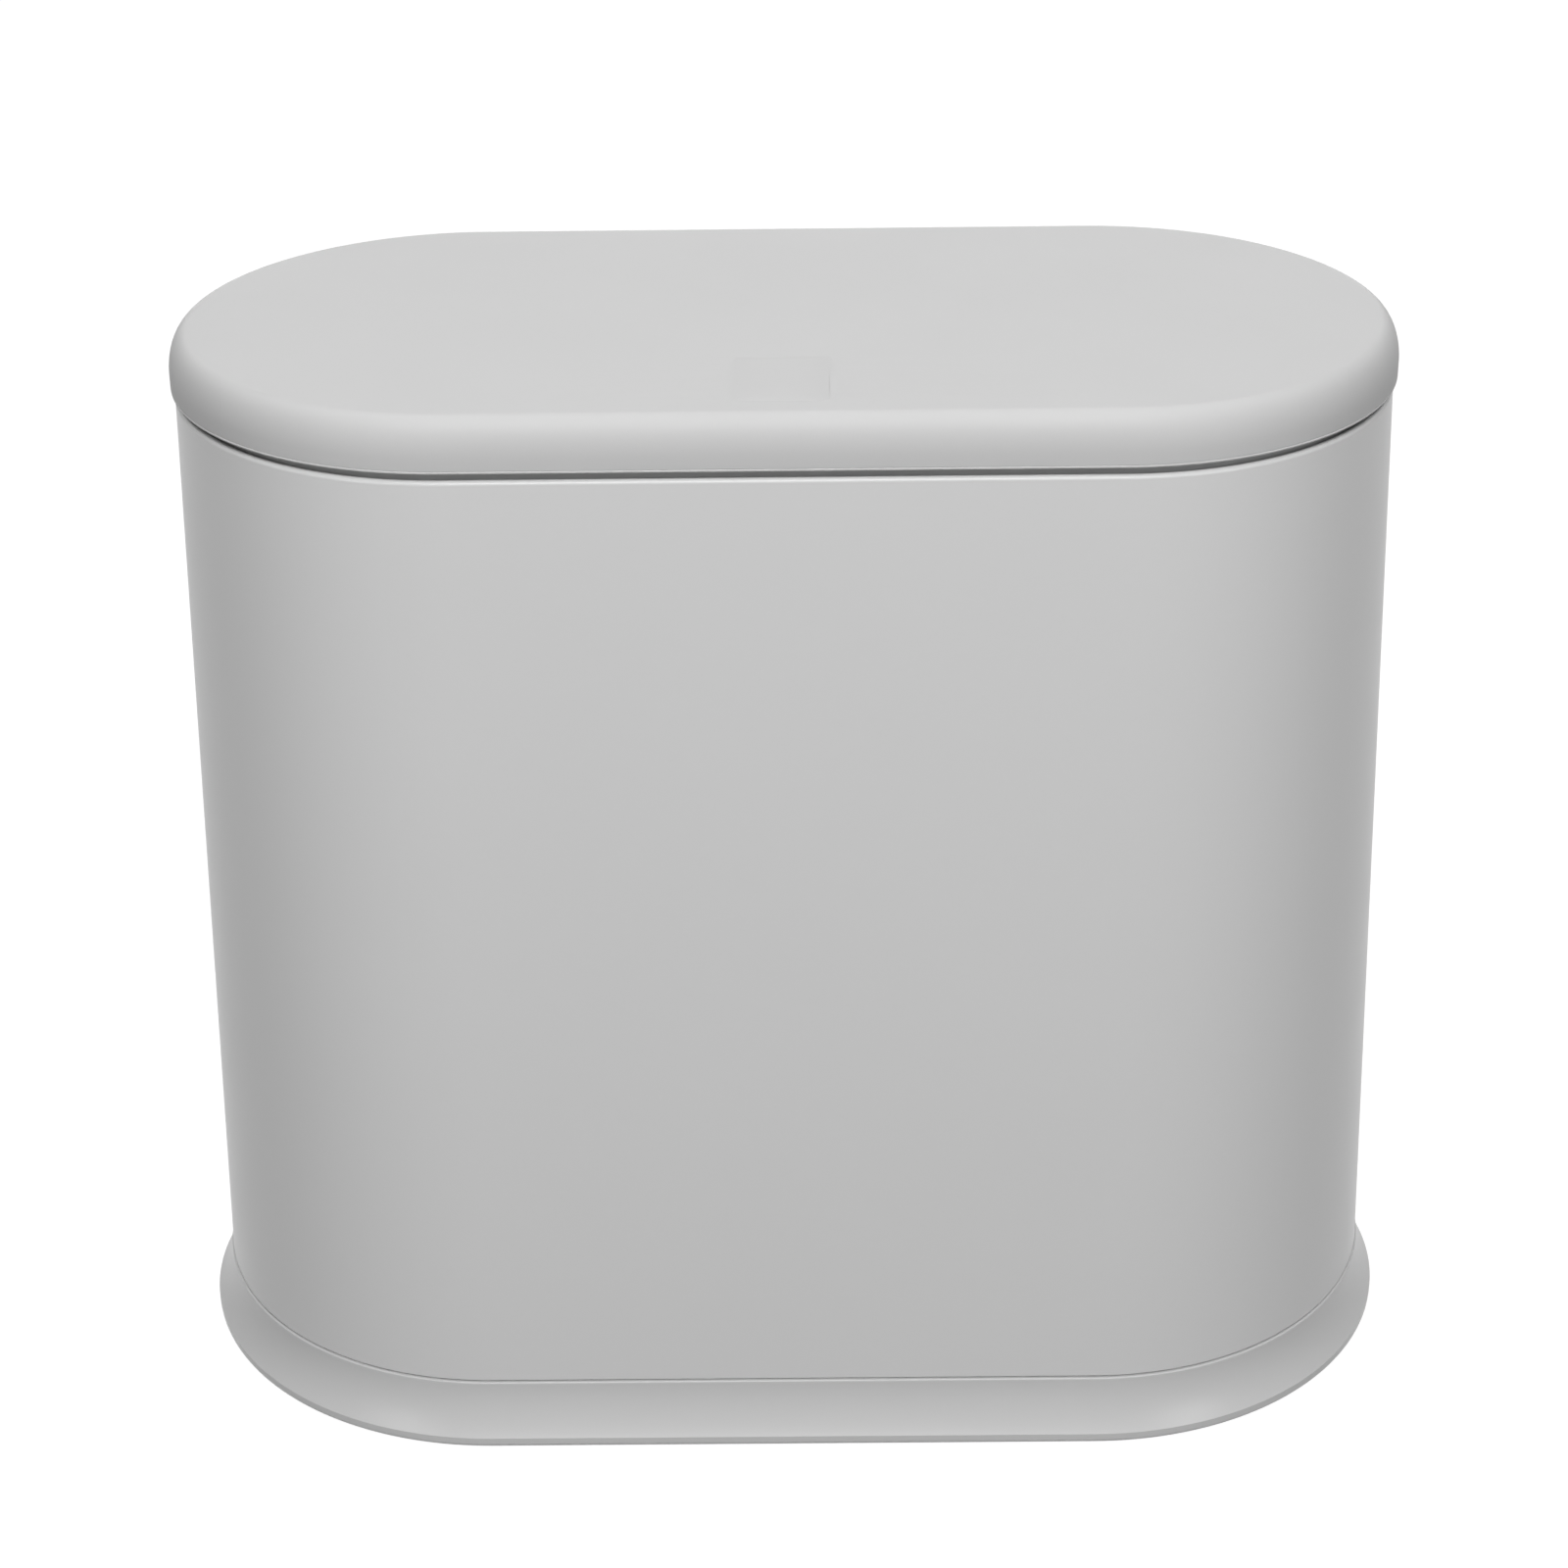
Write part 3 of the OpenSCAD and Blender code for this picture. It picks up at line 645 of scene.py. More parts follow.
def plated_metal() -> bpy.types.NodeTree:
    """Drawn and plated metal: fine lines along the piece and dull spots.

    Returns:
        The node group.
    """
    tree = group_of(
        "plated metal",
        {"Place": (VECTOR, None), "Colour": (COLOUR, WHITE), "Roughness": (FLOAT, 0.5),
         "Lines": (FLOAT, 0.0)},
        {"Colour": COLOUR, "Roughness": FLOAT, "Height": FLOAT})
    w = Wiring(tree)
    given, out = tree.nodes["in"].outputs, tree.nodes["out"].inputs
    lines = w.noise("draw lines", given["Place"], DRAW_LINES)
    spots = w.noise("dull spots", given["Place"], DULL_SPOTS)
    level = w.between("tone", spots, *PLATE_TONES)
    tree.links.new(w.tinted(given["Colour"], level), out["Colour"])
    swing = w.maths("swing", "MULTIPLY", w.maths("mixed", "SUBTRACT", lines, spots), given["Lines"])
    tree.links.new(w.maths("roughness", "ADD", given["Roughness"], swing), out["Roughness"])
    tree.links.new(lines, out["Height"])
    return tree


@dataclass(frozen=True)
class Finish:
    """What every finish has: a name, a slot of the record, a colour, its gloss and its relief."""

    name: str
    slot: str
    colour: Place
    roughness: float
    depth: float

    def start(self) -> tuple[bpy.types.Material, Wiring, bpy.types.NodeSocket]:
        """A new material that is empty but for the place on the piece.

        Returns:
            The material, its wiring and the place.
        """
        material = bpy.data.materials.new(self.name)
        material.use_nodes = True
        material.node_tree.nodes.clear()
        w = Wiring(material.node_tree)
        return material, w, w.add("ShaderNodeTexCoord", "place").outputs["Object"]

    def surface(self, w: Wiring, tree: bpy.types.NodeTree, place: bpy.types.NodeSocket,
                values: dict[str, float]) -> bpy.types.Node:
        """Adds the shader, fed by a node group.

        Args:
            w: The material's wiring.
            tree: The node group.
            place: The place on the piece.
            values: The group's other values.

        Returns:
            The shader.
        """
        group = w.add("ShaderNodeGroup", tree.name,
                      {"Place": place, "Colour": (*self.colour, 1), "Roughness": self.roughness,
                       **values}, node_tree=tree).outputs
        bump = w.add("ShaderNodeBump", "relief",
                     {"Height": group["Height"], "Distance": self.depth, "Strength": 1.0})
        skin = w.add("ShaderNodeBsdfPrincipled", "surface",
                     {"Base Color": group["Colour"], "Roughness": group["Roughness"],
                      "Normal": bump.outputs["Normal"]})
        w.add("ShaderNodeOutputMaterial", "result", {"Surface": skin.outputs["BSDF"]})
        return skin


@dataclass(frozen=True)
class Plastic(Finish):
    """Moulded plastic or rubber."""

    clouds: float = 0.012
    rubbed: float = 0.08
    grain: float = 2600.0
    specular: float = 0.5

    def make(self, tree: bpy.types.NodeTree) -> bpy.types.Material:
        """Builds the material.

        Args:
            tree: The node group for moulded skin.

        Returns:
            The material.
        """
        material, w, place = self.start()
        values = {"Clouds": self.clouds, "Rubbed": self.rubbed, "Grain": self.grain}
        skin = self.surface(w, tree, place, values)
        skin.inputs["Specular IOR Level"].default_value = self.specular
        return material


@dataclass(frozen=True)
class Metal(Finish):
    """Plated steel or nickel, drawn along one direction."""

    lines: float = 0.12
    stretch: Place = (1.0, 1.0, 0.08)

    def make(self, tree: bpy.types.NodeTree) -> bpy.types.Material:
        """Builds the material.

        Args:
            tree: The node group for plated metal.

        Returns:
            The material.
        """
        material, w, place = self.start()
        along = w.add("ShaderNodeMapping", "along", {"Vector": place, "Scale": self.stretch})
        skin = self.surface(w, tree, along.outputs["Vector"], {"Lines": self.lines})
        skin.inputs["Metallic"].default_value = 1.0
        return material


class Finishes:
    """All the finishes of the bin, each made once."""

    BODY = Plastic("satin body plastic", "body_plastic", grey(0.635), 0.30, 0.000005, specular=0.4)
    # The base is the same body plastic, given a darker colour as painted shade: it offsets the extra
    # light that the base's upturned flare catches.
    BASE_PAINTED_SHADE = Plastic("body plastic with painted shade", "body_plastic", grey(0.565), 0.30, 0.000005, specular=0.4)
    LID = Plastic("matt lid plastic", "lid_plastic", grey(0.54), 0.55, 0.000008, specular=0.32)
    FRAME = Plastic("frame plastic", "frame_plastic", grey(0.52), 0.48, 0.000014)
    LATCH = Plastic("latch plastic", "latch_plastic", grey(0.45), 0.36, 0.000006, clouds=0.02)
    RUBBER = Plastic("foot rubber", "foot_rubber", grey(0.08), 0.72, 0.00003,
                     clouds=0.12, rubbed=0.16, grain=1500.0, specular=0.35)
    NICKEL = Metal("nickel plate", "magnet_nickel", (0.62, 0.61, 0.59), 0.20, 0.000002)
    STRIKER = Metal("zinc plate", "striker_steel", (0.55, 0.56, 0.57), 0.36, 0.000004,
                    stretch=(0.06, 1.0, 1.0))
    SPRING = Metal("bright wire", "spring_steel", (0.45, 0.45, 0.46), 0.24, 0.000003)
    SCREW = Metal("zinc plated screw", "screw_steel", (0.50, 0.50, 0.51), 0.32, 0.000003)

    def __init__(self) -> None:
        """Makes the groups, and keeps the materials that are made."""
        self._groups = {Plastic: moulded_skin(), Metal: plated_metal()}
        self._made: dict[str, bpy.types.Material] = {}

    def dress(self, work: Work, body: Body | Span, node: str, finish: Finish) -> None:
        """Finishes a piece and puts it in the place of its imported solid.

        Args:
            work: The shaped piece.
            body: The body that it rides on, or the two that it reaches between.
            node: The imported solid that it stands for.
            finish: What it is made of.
        """
        obj = work.finished()
        if finish.name not in self._made:
            self._made[finish.name] = finish.make(self._groups[type(finish)])
        obj.data.materials.clear()
        obj.data.materials.append(self._made[finish.name])
        if isinstance(body, Span):
            start, end = Vector(body.start) * METRES, Vector(body.end) * METRES
            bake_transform(obj)
        else:
            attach(obj, body.value)
        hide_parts(node)
        log.info("%s: %d faces", obj.name, len(obj.data.polygons))


# ---- Shared places ----


def corners(spot: Point) -> list[Vector]:
    """The four places that mirror one another, front pair first."""
    x, y = spot
    return [Vector((i * x, j * y, 0)) for j in (-1, 1) for i in (-1, 1)]


@dataclass(frozen=True)
class Plan:
    """Places that several pieces share, in millimetres."""

    half: float = 52.0
    seam_z: float = 12.6
    rim_z: float = 177.0
    rim_r: float = 47.4
    bottom_r: float = 51.6
    base_z: float = 0.8
    ledge_z: float = 174.4
    frame_z: float = 175.9
    lid_z: float = 178.4
    liner_z: float = 180.4
    post_z: float = 181.8
    hinge_y: float = 43.4
    hinge_z: float = 182.4
    foot: Point = (78.587, 26.587)
    post: Point = (66.0, 24.0)
    latch_y: float = -36.908
    housing_y: float = -42.6
    pin_r: float = 1.0
    bore_play: float = 0.04

    def feet(self) -> list[Vector]:
        """The four places of the feet."""
        return corners(self.foot)

    def posts(self) -> list[Vector]:
        """The four places of the lid's posts."""
        return corners(self.post)

    def body_r(self, z: float) -> float:
        """The outer radius of the body at a height."""
        share = (self.rim_z - z) / (self.rim_z - self.seam_z)
        return self.rim_r + (self.bottom_r - self.rim_r) * share


PLAN = Plan()
MIRROR = Matrix.Scale(-1, 4, (1, 0, 0))


@dataclass
class Screw:
    """A screw with a cross recess and a thread, its head's bearing face at height 0."""

    shank_r: float
    length: float
    head_r: float
    head_h: float
    flush: bool = False
    pitch: float = 0.75
    core: float = 0.8  # the core's radius, as a share of the shank's
    crown: Point = (0.45, 0.55)  # how much of a pan head's radius and height is rounded
    rim: Place = (0.12, 0.05, 0.06)  # how far a flush head's face and rim lie in, and how low
    edge: float = 0.1
    neck: float = 0.2
    recess: Place = (0.58, 0.125, 0.5)  # half length, half width and depth, as shares of the head
    thread: Point = (0.86, 0.13)  # its radius and its wire's radius, as shares of the shank's
    thread_start: float = 0.4
    flush_start: float = 0.3
    thread_end: float = 0.7
    steps: int = 14
    fade: int = 10
    fade_by: float = 0.03

    def outline(self) -> list[Point]:
        """Radius and height from the crown of the head to the tip.

        Returns:
            The points.
        """
        core = self.shank_r * self.core
        tip = [(core, self.length - self.shank_r), (core / 3, self.length), (0, self.length)]
        if self.flush:
            face, rim, rim_h = self.rim
            return [(0, 0), (self.head_r - face, 0), (self.head_r - rim, rim_h),
                    (self.shank_r, self.head_h), (core, self.head_h + self.edge), *tip]
        crown_r, crown_h = self.head_r * self.crown[0], self.head_h * self.crown[1]
        pan = arc((self.head_r - crown_r, crown_h - self.head_h), (crown_r, crown_h), -90, 0, 8)
        return [(0, -self.head_h), *pan, (self.head_r, -self.edge), (self.head_r - self.edge, 0),
                (self.shank_r, 0), (core, self.neck), *tip]

    def helix(self) -> list[Place]:
        """The middle line of the thread, which fades out at the tip.

        Returns:
            The points.
        """
        start = self.head_h + self.flush_start if self.flush else self.thread_start
        end = self.length - self.shank_r * self.thread_end
        turns = (end - start) / self.pitch
        steps = int(turns * self.steps)
        path = []
        for i in range(steps + 1):
            a = TURN * turns * i / steps
            left = max(0, i - steps + self.fade)
            r = self.shank_r * self.thread[0] * (1 - self.fade_by * left)
            path.append((r * math.cos(a), r * math.sin(a), start + (end - start) * i / steps))
        return path

    def build(self, name: str) -> Work:
        """Turns the screw, cuts its recess and winds its thread.

        Args:
            name: What it is called.

        Returns:
            The screw.
        """
        work = Work.turned(name, self.outline(), steps=32)
        top = 0.0 if self.flush else -self.head_h
        long, wide = self.head_r * self.recess[0], self.head_r * self.recess[1]
        deep = self.head_h * self.recess[2]
        for x, y in ((long, wide), (wide, long)):
            work.combine(Join.CUT, Work.block("recess", (-x, -y, top - PAST), (x, y, top + deep)))
        return work.together(Work.wire("thread", self.helix(), self.shank_r * self.thread[1], 1))


# ---- Body and base ----


@dataclass
class Container:
    """The body shell with its rounded rim, on the flared base with four feet."""

    finishes: Finishes
    wall: float = 2.2
    floor_z: float = 15.0
    rim_w: float = 1.4
    ledge_r: float = 44.9
    ledge_h: float = 3.0
    corner: float = 5.0
    rib_r: float = 49.2
    rib_t: float = 1.6
    rib_h: float = 3.5
    pillar_r: float = 5.0
    pillar_z: float = 6.0
    base_r: float = 55.0
    base_top_r: float = 51.9
    base_lip: float = 0.3
    base_edge: float = 1.0
    base_wall: float = 2.4
    base_top_z: float = 12.35
    rib_edge: float = 0.4
    seam_edge: float = 0.12
    ledge_edge: float = 0.2
    pillar_edge: float = 0.3
    bore_h: float = 7.8
    foot_edge: float = 0.45
    foot_back: float = 0.15
    ring: Point = (3.4, 0.3)  # the grip ring's radius and depth
    plate_t: float = 2.4
    foot_r: float = 7.0
    foot_t: float = 1.6
    foot_out: float = 0.8
    screw: Screw = field(default_factory=lambda: Screw(1.2, 7.6, 2.6, 1.6, pitch=0.9))
    screw_z: float = 3.8
    play: float = 0.3

    def shell(self) -> Work:
        """The body: one moulding with a rib below, a rounded rim and a ledge inside.

        Returns:
            The shape.
        """
        p = PLAN
        under = p.ledge_z - self.ledge_h
        slope = p.body_r(under) - self.wall - self.ledge_r
        wall_z = under - slope
        inner = p.body_r(self.floor_z) - self.wall
        rib_in, rib_z = self.rib_r - self.rib_t, p.seam_z - self.rib_h
        rim = arc((p.rim_r - self.rim_w / 2, p.rim_z - self.rim_w / 2),
                  (self.rim_w / 2, self.rim_w / 2), 0, 180, 16)
        hollow = arc((inner - self.corner, self.floor_z + self.corner),
                     (self.corner, self.corner), 0, -90, 8)
        outline = [
            (0, p.seam_z), (rib_in, p.seam_z), (rib_in, rib_z), (self.rib_r - self.rib_edge, rib_z),
            (self.rib_r, rib_z + self.rib_edge), (self.rib_r, p.seam_z),
            (p.bottom_r - self.seam_edge, p.seam_z), (p.bottom_r, p.seam_z + self.seam_edge),
            *rim, (p.rim_r - self.rim_w, p.ledge_z), (self.ledge_r + self.ledge_edge, p.ledge_z),
            (self.ledge_r, p.ledge_z - self.ledge_edge), (self.ledge_r, under),
            (p.body_r(wall_z) - self.wall, wall_z), *hollow, (0, self.floor_z)]
        work = Work.obround("body_moulding", outline, p.half, 96)
        for place in p.feet():
            low = place + UP * self.pillar_z
            pillar = Work.rod("pillar", self.pillar_r, low, p.seam_z - self.pillar_z + PAST)
            pillar.soften(self.pillar_edge, 2, lambda m: m.z < self.pillar_z + NEAR)
            work.combine(Join.ADD, pillar)
            bore = Work.rod("bore", self.screw.shank_r, low - UP * PAST, PAST + self.bore_h)
            work.combine(Join.CUT, bore)
        return work

    def base(self) -> Work:
        """The base: a concave flare round a flat plate, with seats for feet and screws.

        Returns:
            The shape.
        """
        p = PLAN
        flare_z = p.base_z + 2 * self.base_edge
        high = self.base_top_z - self.base_lip - flare_z
        wide = self.base_r - self.base_top_r
        radius = (high * high + wide * wide) / (2 * wide)
        swing = math.degrees(math.asin(high / radius))
        inner_r, inner_z = self.base_top_r - self.base_wall, p.base_z + self.plate_t
        outline = [
            (0, p.base_z),
            *arc((self.base_r - self.base_edge, p.base_z + self.base_edge),
                 (self.base_edge, self.base_edge), -90, 0, 8),
            *arc((self.base_top_r + radius, self.base_top_z - self.base_lip), (radius, radius),
                 180 + swing, 180, 20),
            *arc((self.base_top_r - self.base_lip, self.base_top_z - self.base_lip),
                 (self.base_lip, self.base_lip), 0, 90, 4)[1:],
            (inner_r, self.base_top_z), (inner_r, (self.base_top_z + inner_z) / 2),
            (self.base_r - self.base_wall, inner_z), (0, inner_z)]
        work = Work.obround("base_moulding", outline, p.half, 96)
        for place in p.feet():
            low = place + UP * p.base_z
            pillar = Work.rod("pillar", self.pillar_r, low + UP * PAST,
                              self.pillar_z - p.base_z - PAST)
            work.combine(Join.ADD, pillar)
            for name, radius, depth in (
                    ("foot seat", self.foot_r, self.foot_t - self.foot_out),
                    ("head seat", self.screw.head_r, self.screw_z - p.base_z),
                    ("bore", self.screw.shank_r, self.pillar_z)):
                tool = Work.rod(name, radius + self.play, low - UP * PAST, PAST + depth)
                work.combine(Join.CUT, tool)
        return work

    def foot(self) -> Work:
        """A rubber foot with a rounded edge and a grip ring pressed into its face.

        Returns:
            The shape.
        """
        r, t, edge, back = self.foot_r, self.foot_t, self.foot_edge, self.foot_back
        ring_r, ring_h = self.ring
        outline = [(0, ring_h), (ring_r, ring_h), (ring_r + ring_h, 0),
                   *arc((r - edge, edge), (edge, edge), -90, 0, 6),
                   (r, t - back), (r - back, t), (0, t)]
        return Work.turned("foot", outline, steps=56)

    def build(self) -> None:
        """Makes and dresses every piece of the container."""
        made = self.finishes
        made.dress(self.shell(), Body.BIN, "body_shell", Finishes.BODY)
        # The base wears the body plastic darkened as painted shade.
        made.dress(self.base(), Body.BIN, "base_plinth", Finishes.BASE_PAINTED_SHADE)
        foot, screw = self.foot(), self.screw.build("base screw")
        for i, place in enumerate(PLAN.feet(), 1):
            spot = Matrix.Translation(place)
            made.dress(foot.copy(f"rubber_foot_{i}", spot), Body.BIN, f"foot_{i}", Finishes.RUBBER)
            spot = Matrix.Translation(place + UP * self.screw_z)
            made.dress(screw.copy(f"long_screw_{i}", spot), Body.BIN, f"base_screw_{i}",
                       Finishes.SCREW)
        foot.discard()
        screw.discard()


# ---- Top frame ----


@dataclass
class TopFrame:
    """The frame in the rim: plate, mouth lip, skirt, collar and the two hinge arms."""

    finishes: Finishes
    mouth_r: float = 31.0
    lip_t: float = 1.3
    lip_h: float = 3.0
    skirt_r: float = 44.5
    skirt_t: float = 1.6
    skirt_h: float = 10.4
    plate_r: float = 45.7
    collar_r: float = 45.4
    collar_t: float = 1.6
    collar_h: float = 2.1
    arm_x: float = 29.8
    arm_w: float = 7.6
    reach: float = 9.5
    arm_t: float = 3.0
    room: float = 4.5
    knuckle_r: float = 2.2
    seat: Place = (1.6, 3.0, 1.3)  # how far beside the arm, how deep and how thick
    seat_drop: float = 2.9
    bore_r: float = 3.34
    swing: Point = (1.652, 0.287)  # the plunger's room to the front and to the back
    screw_x: float = 8.85
    screw_hole_r: float = 1.2
    mouth_edge: float = 0.6
    lip_edge: float = 0.65
    skirt_in: float = 0.5
    skirt_out: float = 0.7
    plate_low: float = 0.15
    plate_high: float = 0.3
    collar_edge: float = 0.4
    collar_sink: float = 0.3
    arm_sink: float = 0.4
    arm_low: float = -2.0
    arm_high: float = 1.5
    elbow_z: float = 1.0
    throat: float = 1.0
    elbow: Point = (2.0, 2.5)  # how much of the arm's front corner is cut off, along and down
    arm_edge: float = 0.35
    seat_sink: float = 0.5

    def plate(self) -> Work:
        """The plate with its rounded mouth and the skirt that holds the bag.

        Returns:
            The shape.
        """
        z, top = PLAN.ledge_z, PLAN.frame_z
        lip, skirt = self.mouth_r + self.lip_t, self.skirt_r - self.skirt_t
        low, lip_z = z - self.skirt_h, z - self.lip_h
        mouth, tip, inside, outside = self.mouth_edge, self.lip_edge, self.skirt_in, self.skirt_out
        outline = [
            *arc((self.mouth_r + mouth, top - mouth), (mouth, mouth), 90, 180, 6),
            *arc((self.mouth_r + tip, lip_z + tip), (tip, tip), 180, 360, 10),
            (lip, z), (skirt, z),
            *arc((skirt + inside, low + inside), (inside, inside), 180, 270, 5),
            *arc((self.skirt_r - outside, low + outside), (outside, outside), 270, 360, 5),
            (self.skirt_r, z), (self.plate_r - self.plate_low, z),
            (self.plate_r, z + self.plate_low), (self.plate_r, top - self.plate_high),
            (self.plate_r - self.plate_high, top)]
        return Work.obround("frame_moulding", outline, PLAN.half, 80)

    def collar(self) -> Work:
        """The ring that closes the gap under the lid, open at the back for the arms.

        Returns:
            The shape.
        """
        inner, z, edge = self.collar_r - self.collar_t, PLAN.frame_z, self.collar_edge
        top = z + self.collar_h
        outline = [(inner, z - self.collar_sink), (self.collar_r, z - self.collar_sink),
                   *arc((self.collar_r - edge, top - edge), (edge, edge), 0, 90, 5),
                   *arc((inner + edge, top - edge), (edge, edge), 90, 180, 5)]
        ring = Work.obround("collar", outline, PLAN.half, 80)
        return ring.slice((0, PLAN.hinge_y - self.reach - self.room, 0), (0, 1, 0))

    def arm(self) -> Work:
        """The right hinge arm with its knuckle and the seat for the spring's leg.

        Returns:
            The shape.
        """
        y, z, x = PLAN.hinge_y, PLAN.hinge_z, self.arm_x
        inner, foot = self.arm_t - self.reach, PLAN.frame_z - z - self.arm_sink
        side = [(0, self.arm_low), (inner + self.throat, self.arm_low),
                (inner, self.arm_low - self.throat), (inner, foot), (-self.reach, foot),
                (-self.reach, self.elbow_z - self.elbow[1]),
                (-self.reach + self.elbow[0], self.elbow_z), (0, self.arm_high)]
        work = Work.line("arm", [(x, y + a, z + b) for a, b in side])
        work.thicken((self.arm_w, 0, 0))
        work.soften(self.arm_edge, 3,
                    lambda m: m.z > PLAN.frame_z + NEAR and m.y < y - self.knuckle_r - NEAR)
        knuckle = Work.rod("knuckle", self.knuckle_r, (x, y, z), self.arm_w, Axis.X)
        work.combine(Join.ADD, knuckle)
        wide, deep, thick = self.seat
        top = z - self.seat_drop
        far = x + self.arm_w
        seat = Work.block("seat", (far - self.seat_sink, y - self.reach + OVERLAP, top - thick),
                          (far + wide, y - self.reach + deep - OVERLAP, top))
        work.combine(Join.ADD, seat)
        bore = Work.rod("bore", PLAN.pin_r + PLAN.bore_play, (x - PAST, y, z),
                        self.arm_w + 2 * PAST, Axis.X)
        return work.combine(Join.CUT, bore)

    def way(self, radius: float, low: float, high: float) -> list[Work]:
        """The plunger's way through: a bore with room to the front and the back.

        Args:
            radius: The bore's radius.
            low: Where it starts.
            high: Where it ends.

        Returns:
            The three tools that cut it.
        """
        front, back = PLAN.latch_y - self.swing[0], PLAN.latch_y + self.swing[1]
        return [Work.rod("front bore", radius, (0, front, low), high - low),
                Work.rod("back bore", radius, (0, back, low), high - low),
                Work.block("between bores", (-radius, front, low), (radius, back, high))]

    def build(self) -> None:
        """Makes and dresses the frame."""
        work = self.plate()
        work.combine(Join.ADD, self.collar())
        right = self.arm()
        left = right.copy("left arm", MIRROR)
        work.combine(Join.ADD, right, left)
        low, high = PLAN.ledge_z - PAST, PLAN.frame_z + PAST
        work.combine(Join.CUT, *self.way(self.bore_r, low, high))
        for side in (-1, 1):
            at = (side * self.screw_x, PLAN.latch_y, low)
            hole = Work.rod("screw hole", self.screw_hole_r, at, high - low, sides=32)
            work.combine(Join.CUT, hole)
        self.finishes.dress(work, Body.FRAME, "top_frame", Finishes.FRAME)


# ---- Latch ----


@dataclass
class Latch:
    """The press latch: housing, clip, plunger with magnet, spring, follower and two screws."""

    finishes: Finishes
    top_frame: TopFrame
    half_w: float = 5.2
    depth: float = 10.0
    low_z: float = 151.4
    floor_z: float = 153.4
    ears_half: float = 12.5
    ears_z: float = 168.0
    bore_r: float = 3.04
    pivot_z: float = 155.9
    tip_z: float = 165.9
    lane: float = 1.0
    sway: float = math.radians(2.8)
    follower_x: float = 3.54
    wire_r: float = 0.35
    clip_t: float = 0.6
    clip_h: float = 15.3
    plunger_r: float = 3.0
    plunger_z: float = 161.35
    plunger_top: float = 178.85
    magnet_r: float = 2.3
    magnet_z: float = 177.15
    magnet_t: float = 2.0
    groove: float = 0.9
    pop: float = 6.317
    over: float = 1.095
    lane_shift: float = 1.055
    spring_wire: float = 0.2
    spring_r: float = 2.2
    spring_turns: int = 6
    spring_steps: int = 24
    spring_gap: float = 0.05
    closed_pitch: float = 2.1
    edge: float = 0.5
    screw_bore_z: float = 169.4
    clip_lap: float = 1.0
    clip_corner: float = 0.6
    clip_edge: float = 0.12
    foot_edge: float = 0.4
    top_edge: float = 0.2
    lane_edge: float = 0.3
    magnet_edges: Point = (0.1, 0.15)  # below and above
    bend: float = 0.5
    tip_in: float = 0.15
    screw: Screw = field(default_factory=lambda: Screw(0.9, 6.5, 1.8, 1.1, pitch=0.7))

    def housing(self) -> Work:
        """The housing: a tower with two ears, the plunger's way and the follower's slot.

        Returns:
            The shape.
        """
        p = PLAN
        back = p.housing_y + self.depth
        work = Work.block("latch_tower", (-self.half_w, p.housing_y, self.low_z),
                          (self.half_w, back, p.ledge_z))
        ears = Work.block("ears", (-self.ears_half, p.housing_y + OVERLAP, self.ears_z),
                          (self.ears_half, back - OVERLAP, p.ledge_z - OVERLAP))
        work.soften(self.edge, 4).combine(Join.ADD, ears.soften(self.edge, 4))
        work.combine(Join.CUT, *self.top_frame.way(self.bore_r, self.floor_z, p.ledge_z + PAST))
        slot = self.lane / 2 + (self.tip_z - self.pivot_z) * math.sin(self.sway)
        work.combine(Join.CUT, Work.block(
            "slot", (0, p.latch_y - slot, self.pivot_z - self.lane / 2),
            (self.half_w * 2, p.latch_y + slot, self.tip_z + self.lane / 2)))
        for side in (-1, 1):
            at = (side * self.top_frame.screw_x, p.latch_y, self.screw_bore_z)
            bore = Work.rod("screw bore", self.screw.shank_r, at,
                            p.ledge_z + PAST - self.screw_bore_z, sides=32)
            work.combine(Join.CUT, bore)
        return work

    def clip(self) -> Work:
        """The thin plate that closes the housing's side and carries the follower.

        Returns:
            The shape.
        """
        p, low, near, far = PLAN, self.floor_z - self.clip_lap, self.half_w, self.half_w + self.clip_t
        work = Work.block("side_clip", (near, p.housing_y, low),
                          (far, p.housing_y + self.depth, low + self.clip_h))
        work.soften(self.clip_corner, 4, lambda m: abs(m.x - (near + far) / 2) < NEAR)
        work.soften(self.clip_edge, 2, lambda m: m.x > far - NEAR)
        hole = Work.rod("pivot hole", self.wire_r + p.bore_play, (near - PAST, p.latch_y, self.pivot_z),
                        self.clip_t + 2 * PAST, Axis.X, sides=24)
        return work.combine(Join.CUT, hole)

    def plunger(self) -> Work:
        """The plunger with a rounded foot, the magnet's pocket and the two cam lanes.

        Returns:
            The shape.
        """
        r, low, high = self.plunger_r, self.plunger_z, self.plunger_top
        inner, foot, top = self.magnet_r, self.foot_edge, self.top_edge
        outline = [(0, low), *arc((r - foot, low + foot), (foot, foot), -90, 0, 5),
                   *arc((r - top, high - top), (top, top), 0, 90, 4),
                   (inner, high), (inner, self.magnet_z), (0, self.magnet_z)]
        work = Work.turned("push_plunger", outline, (0, PLAN.latch_y, 0), 56)
        slant = math.atan2(self.lane_shift, self.pop)
        long = (self.pop + self.over + self.lane) / math.cos(slant)
        start = -(self.pop + self.lane / 2) / math.cos(slant)
        for side in (-1, 1):
            lane = Work.block("lane", (r - self.groove, -self.lane / 2, start),
                              (2 * r, self.lane / 2, start + long))
            lane.soften(self.lane_edge, 3, lambda m: m.x < r - self.groove + NEAR)
            turn = Matrix.Rotation(-side * slant, 4, "X")
            lane.placed(Matrix.Translation((0, PLAN.latch_y, self.tip_z)) @ turn)
            work.combine(Join.CUT, lane)
        return work

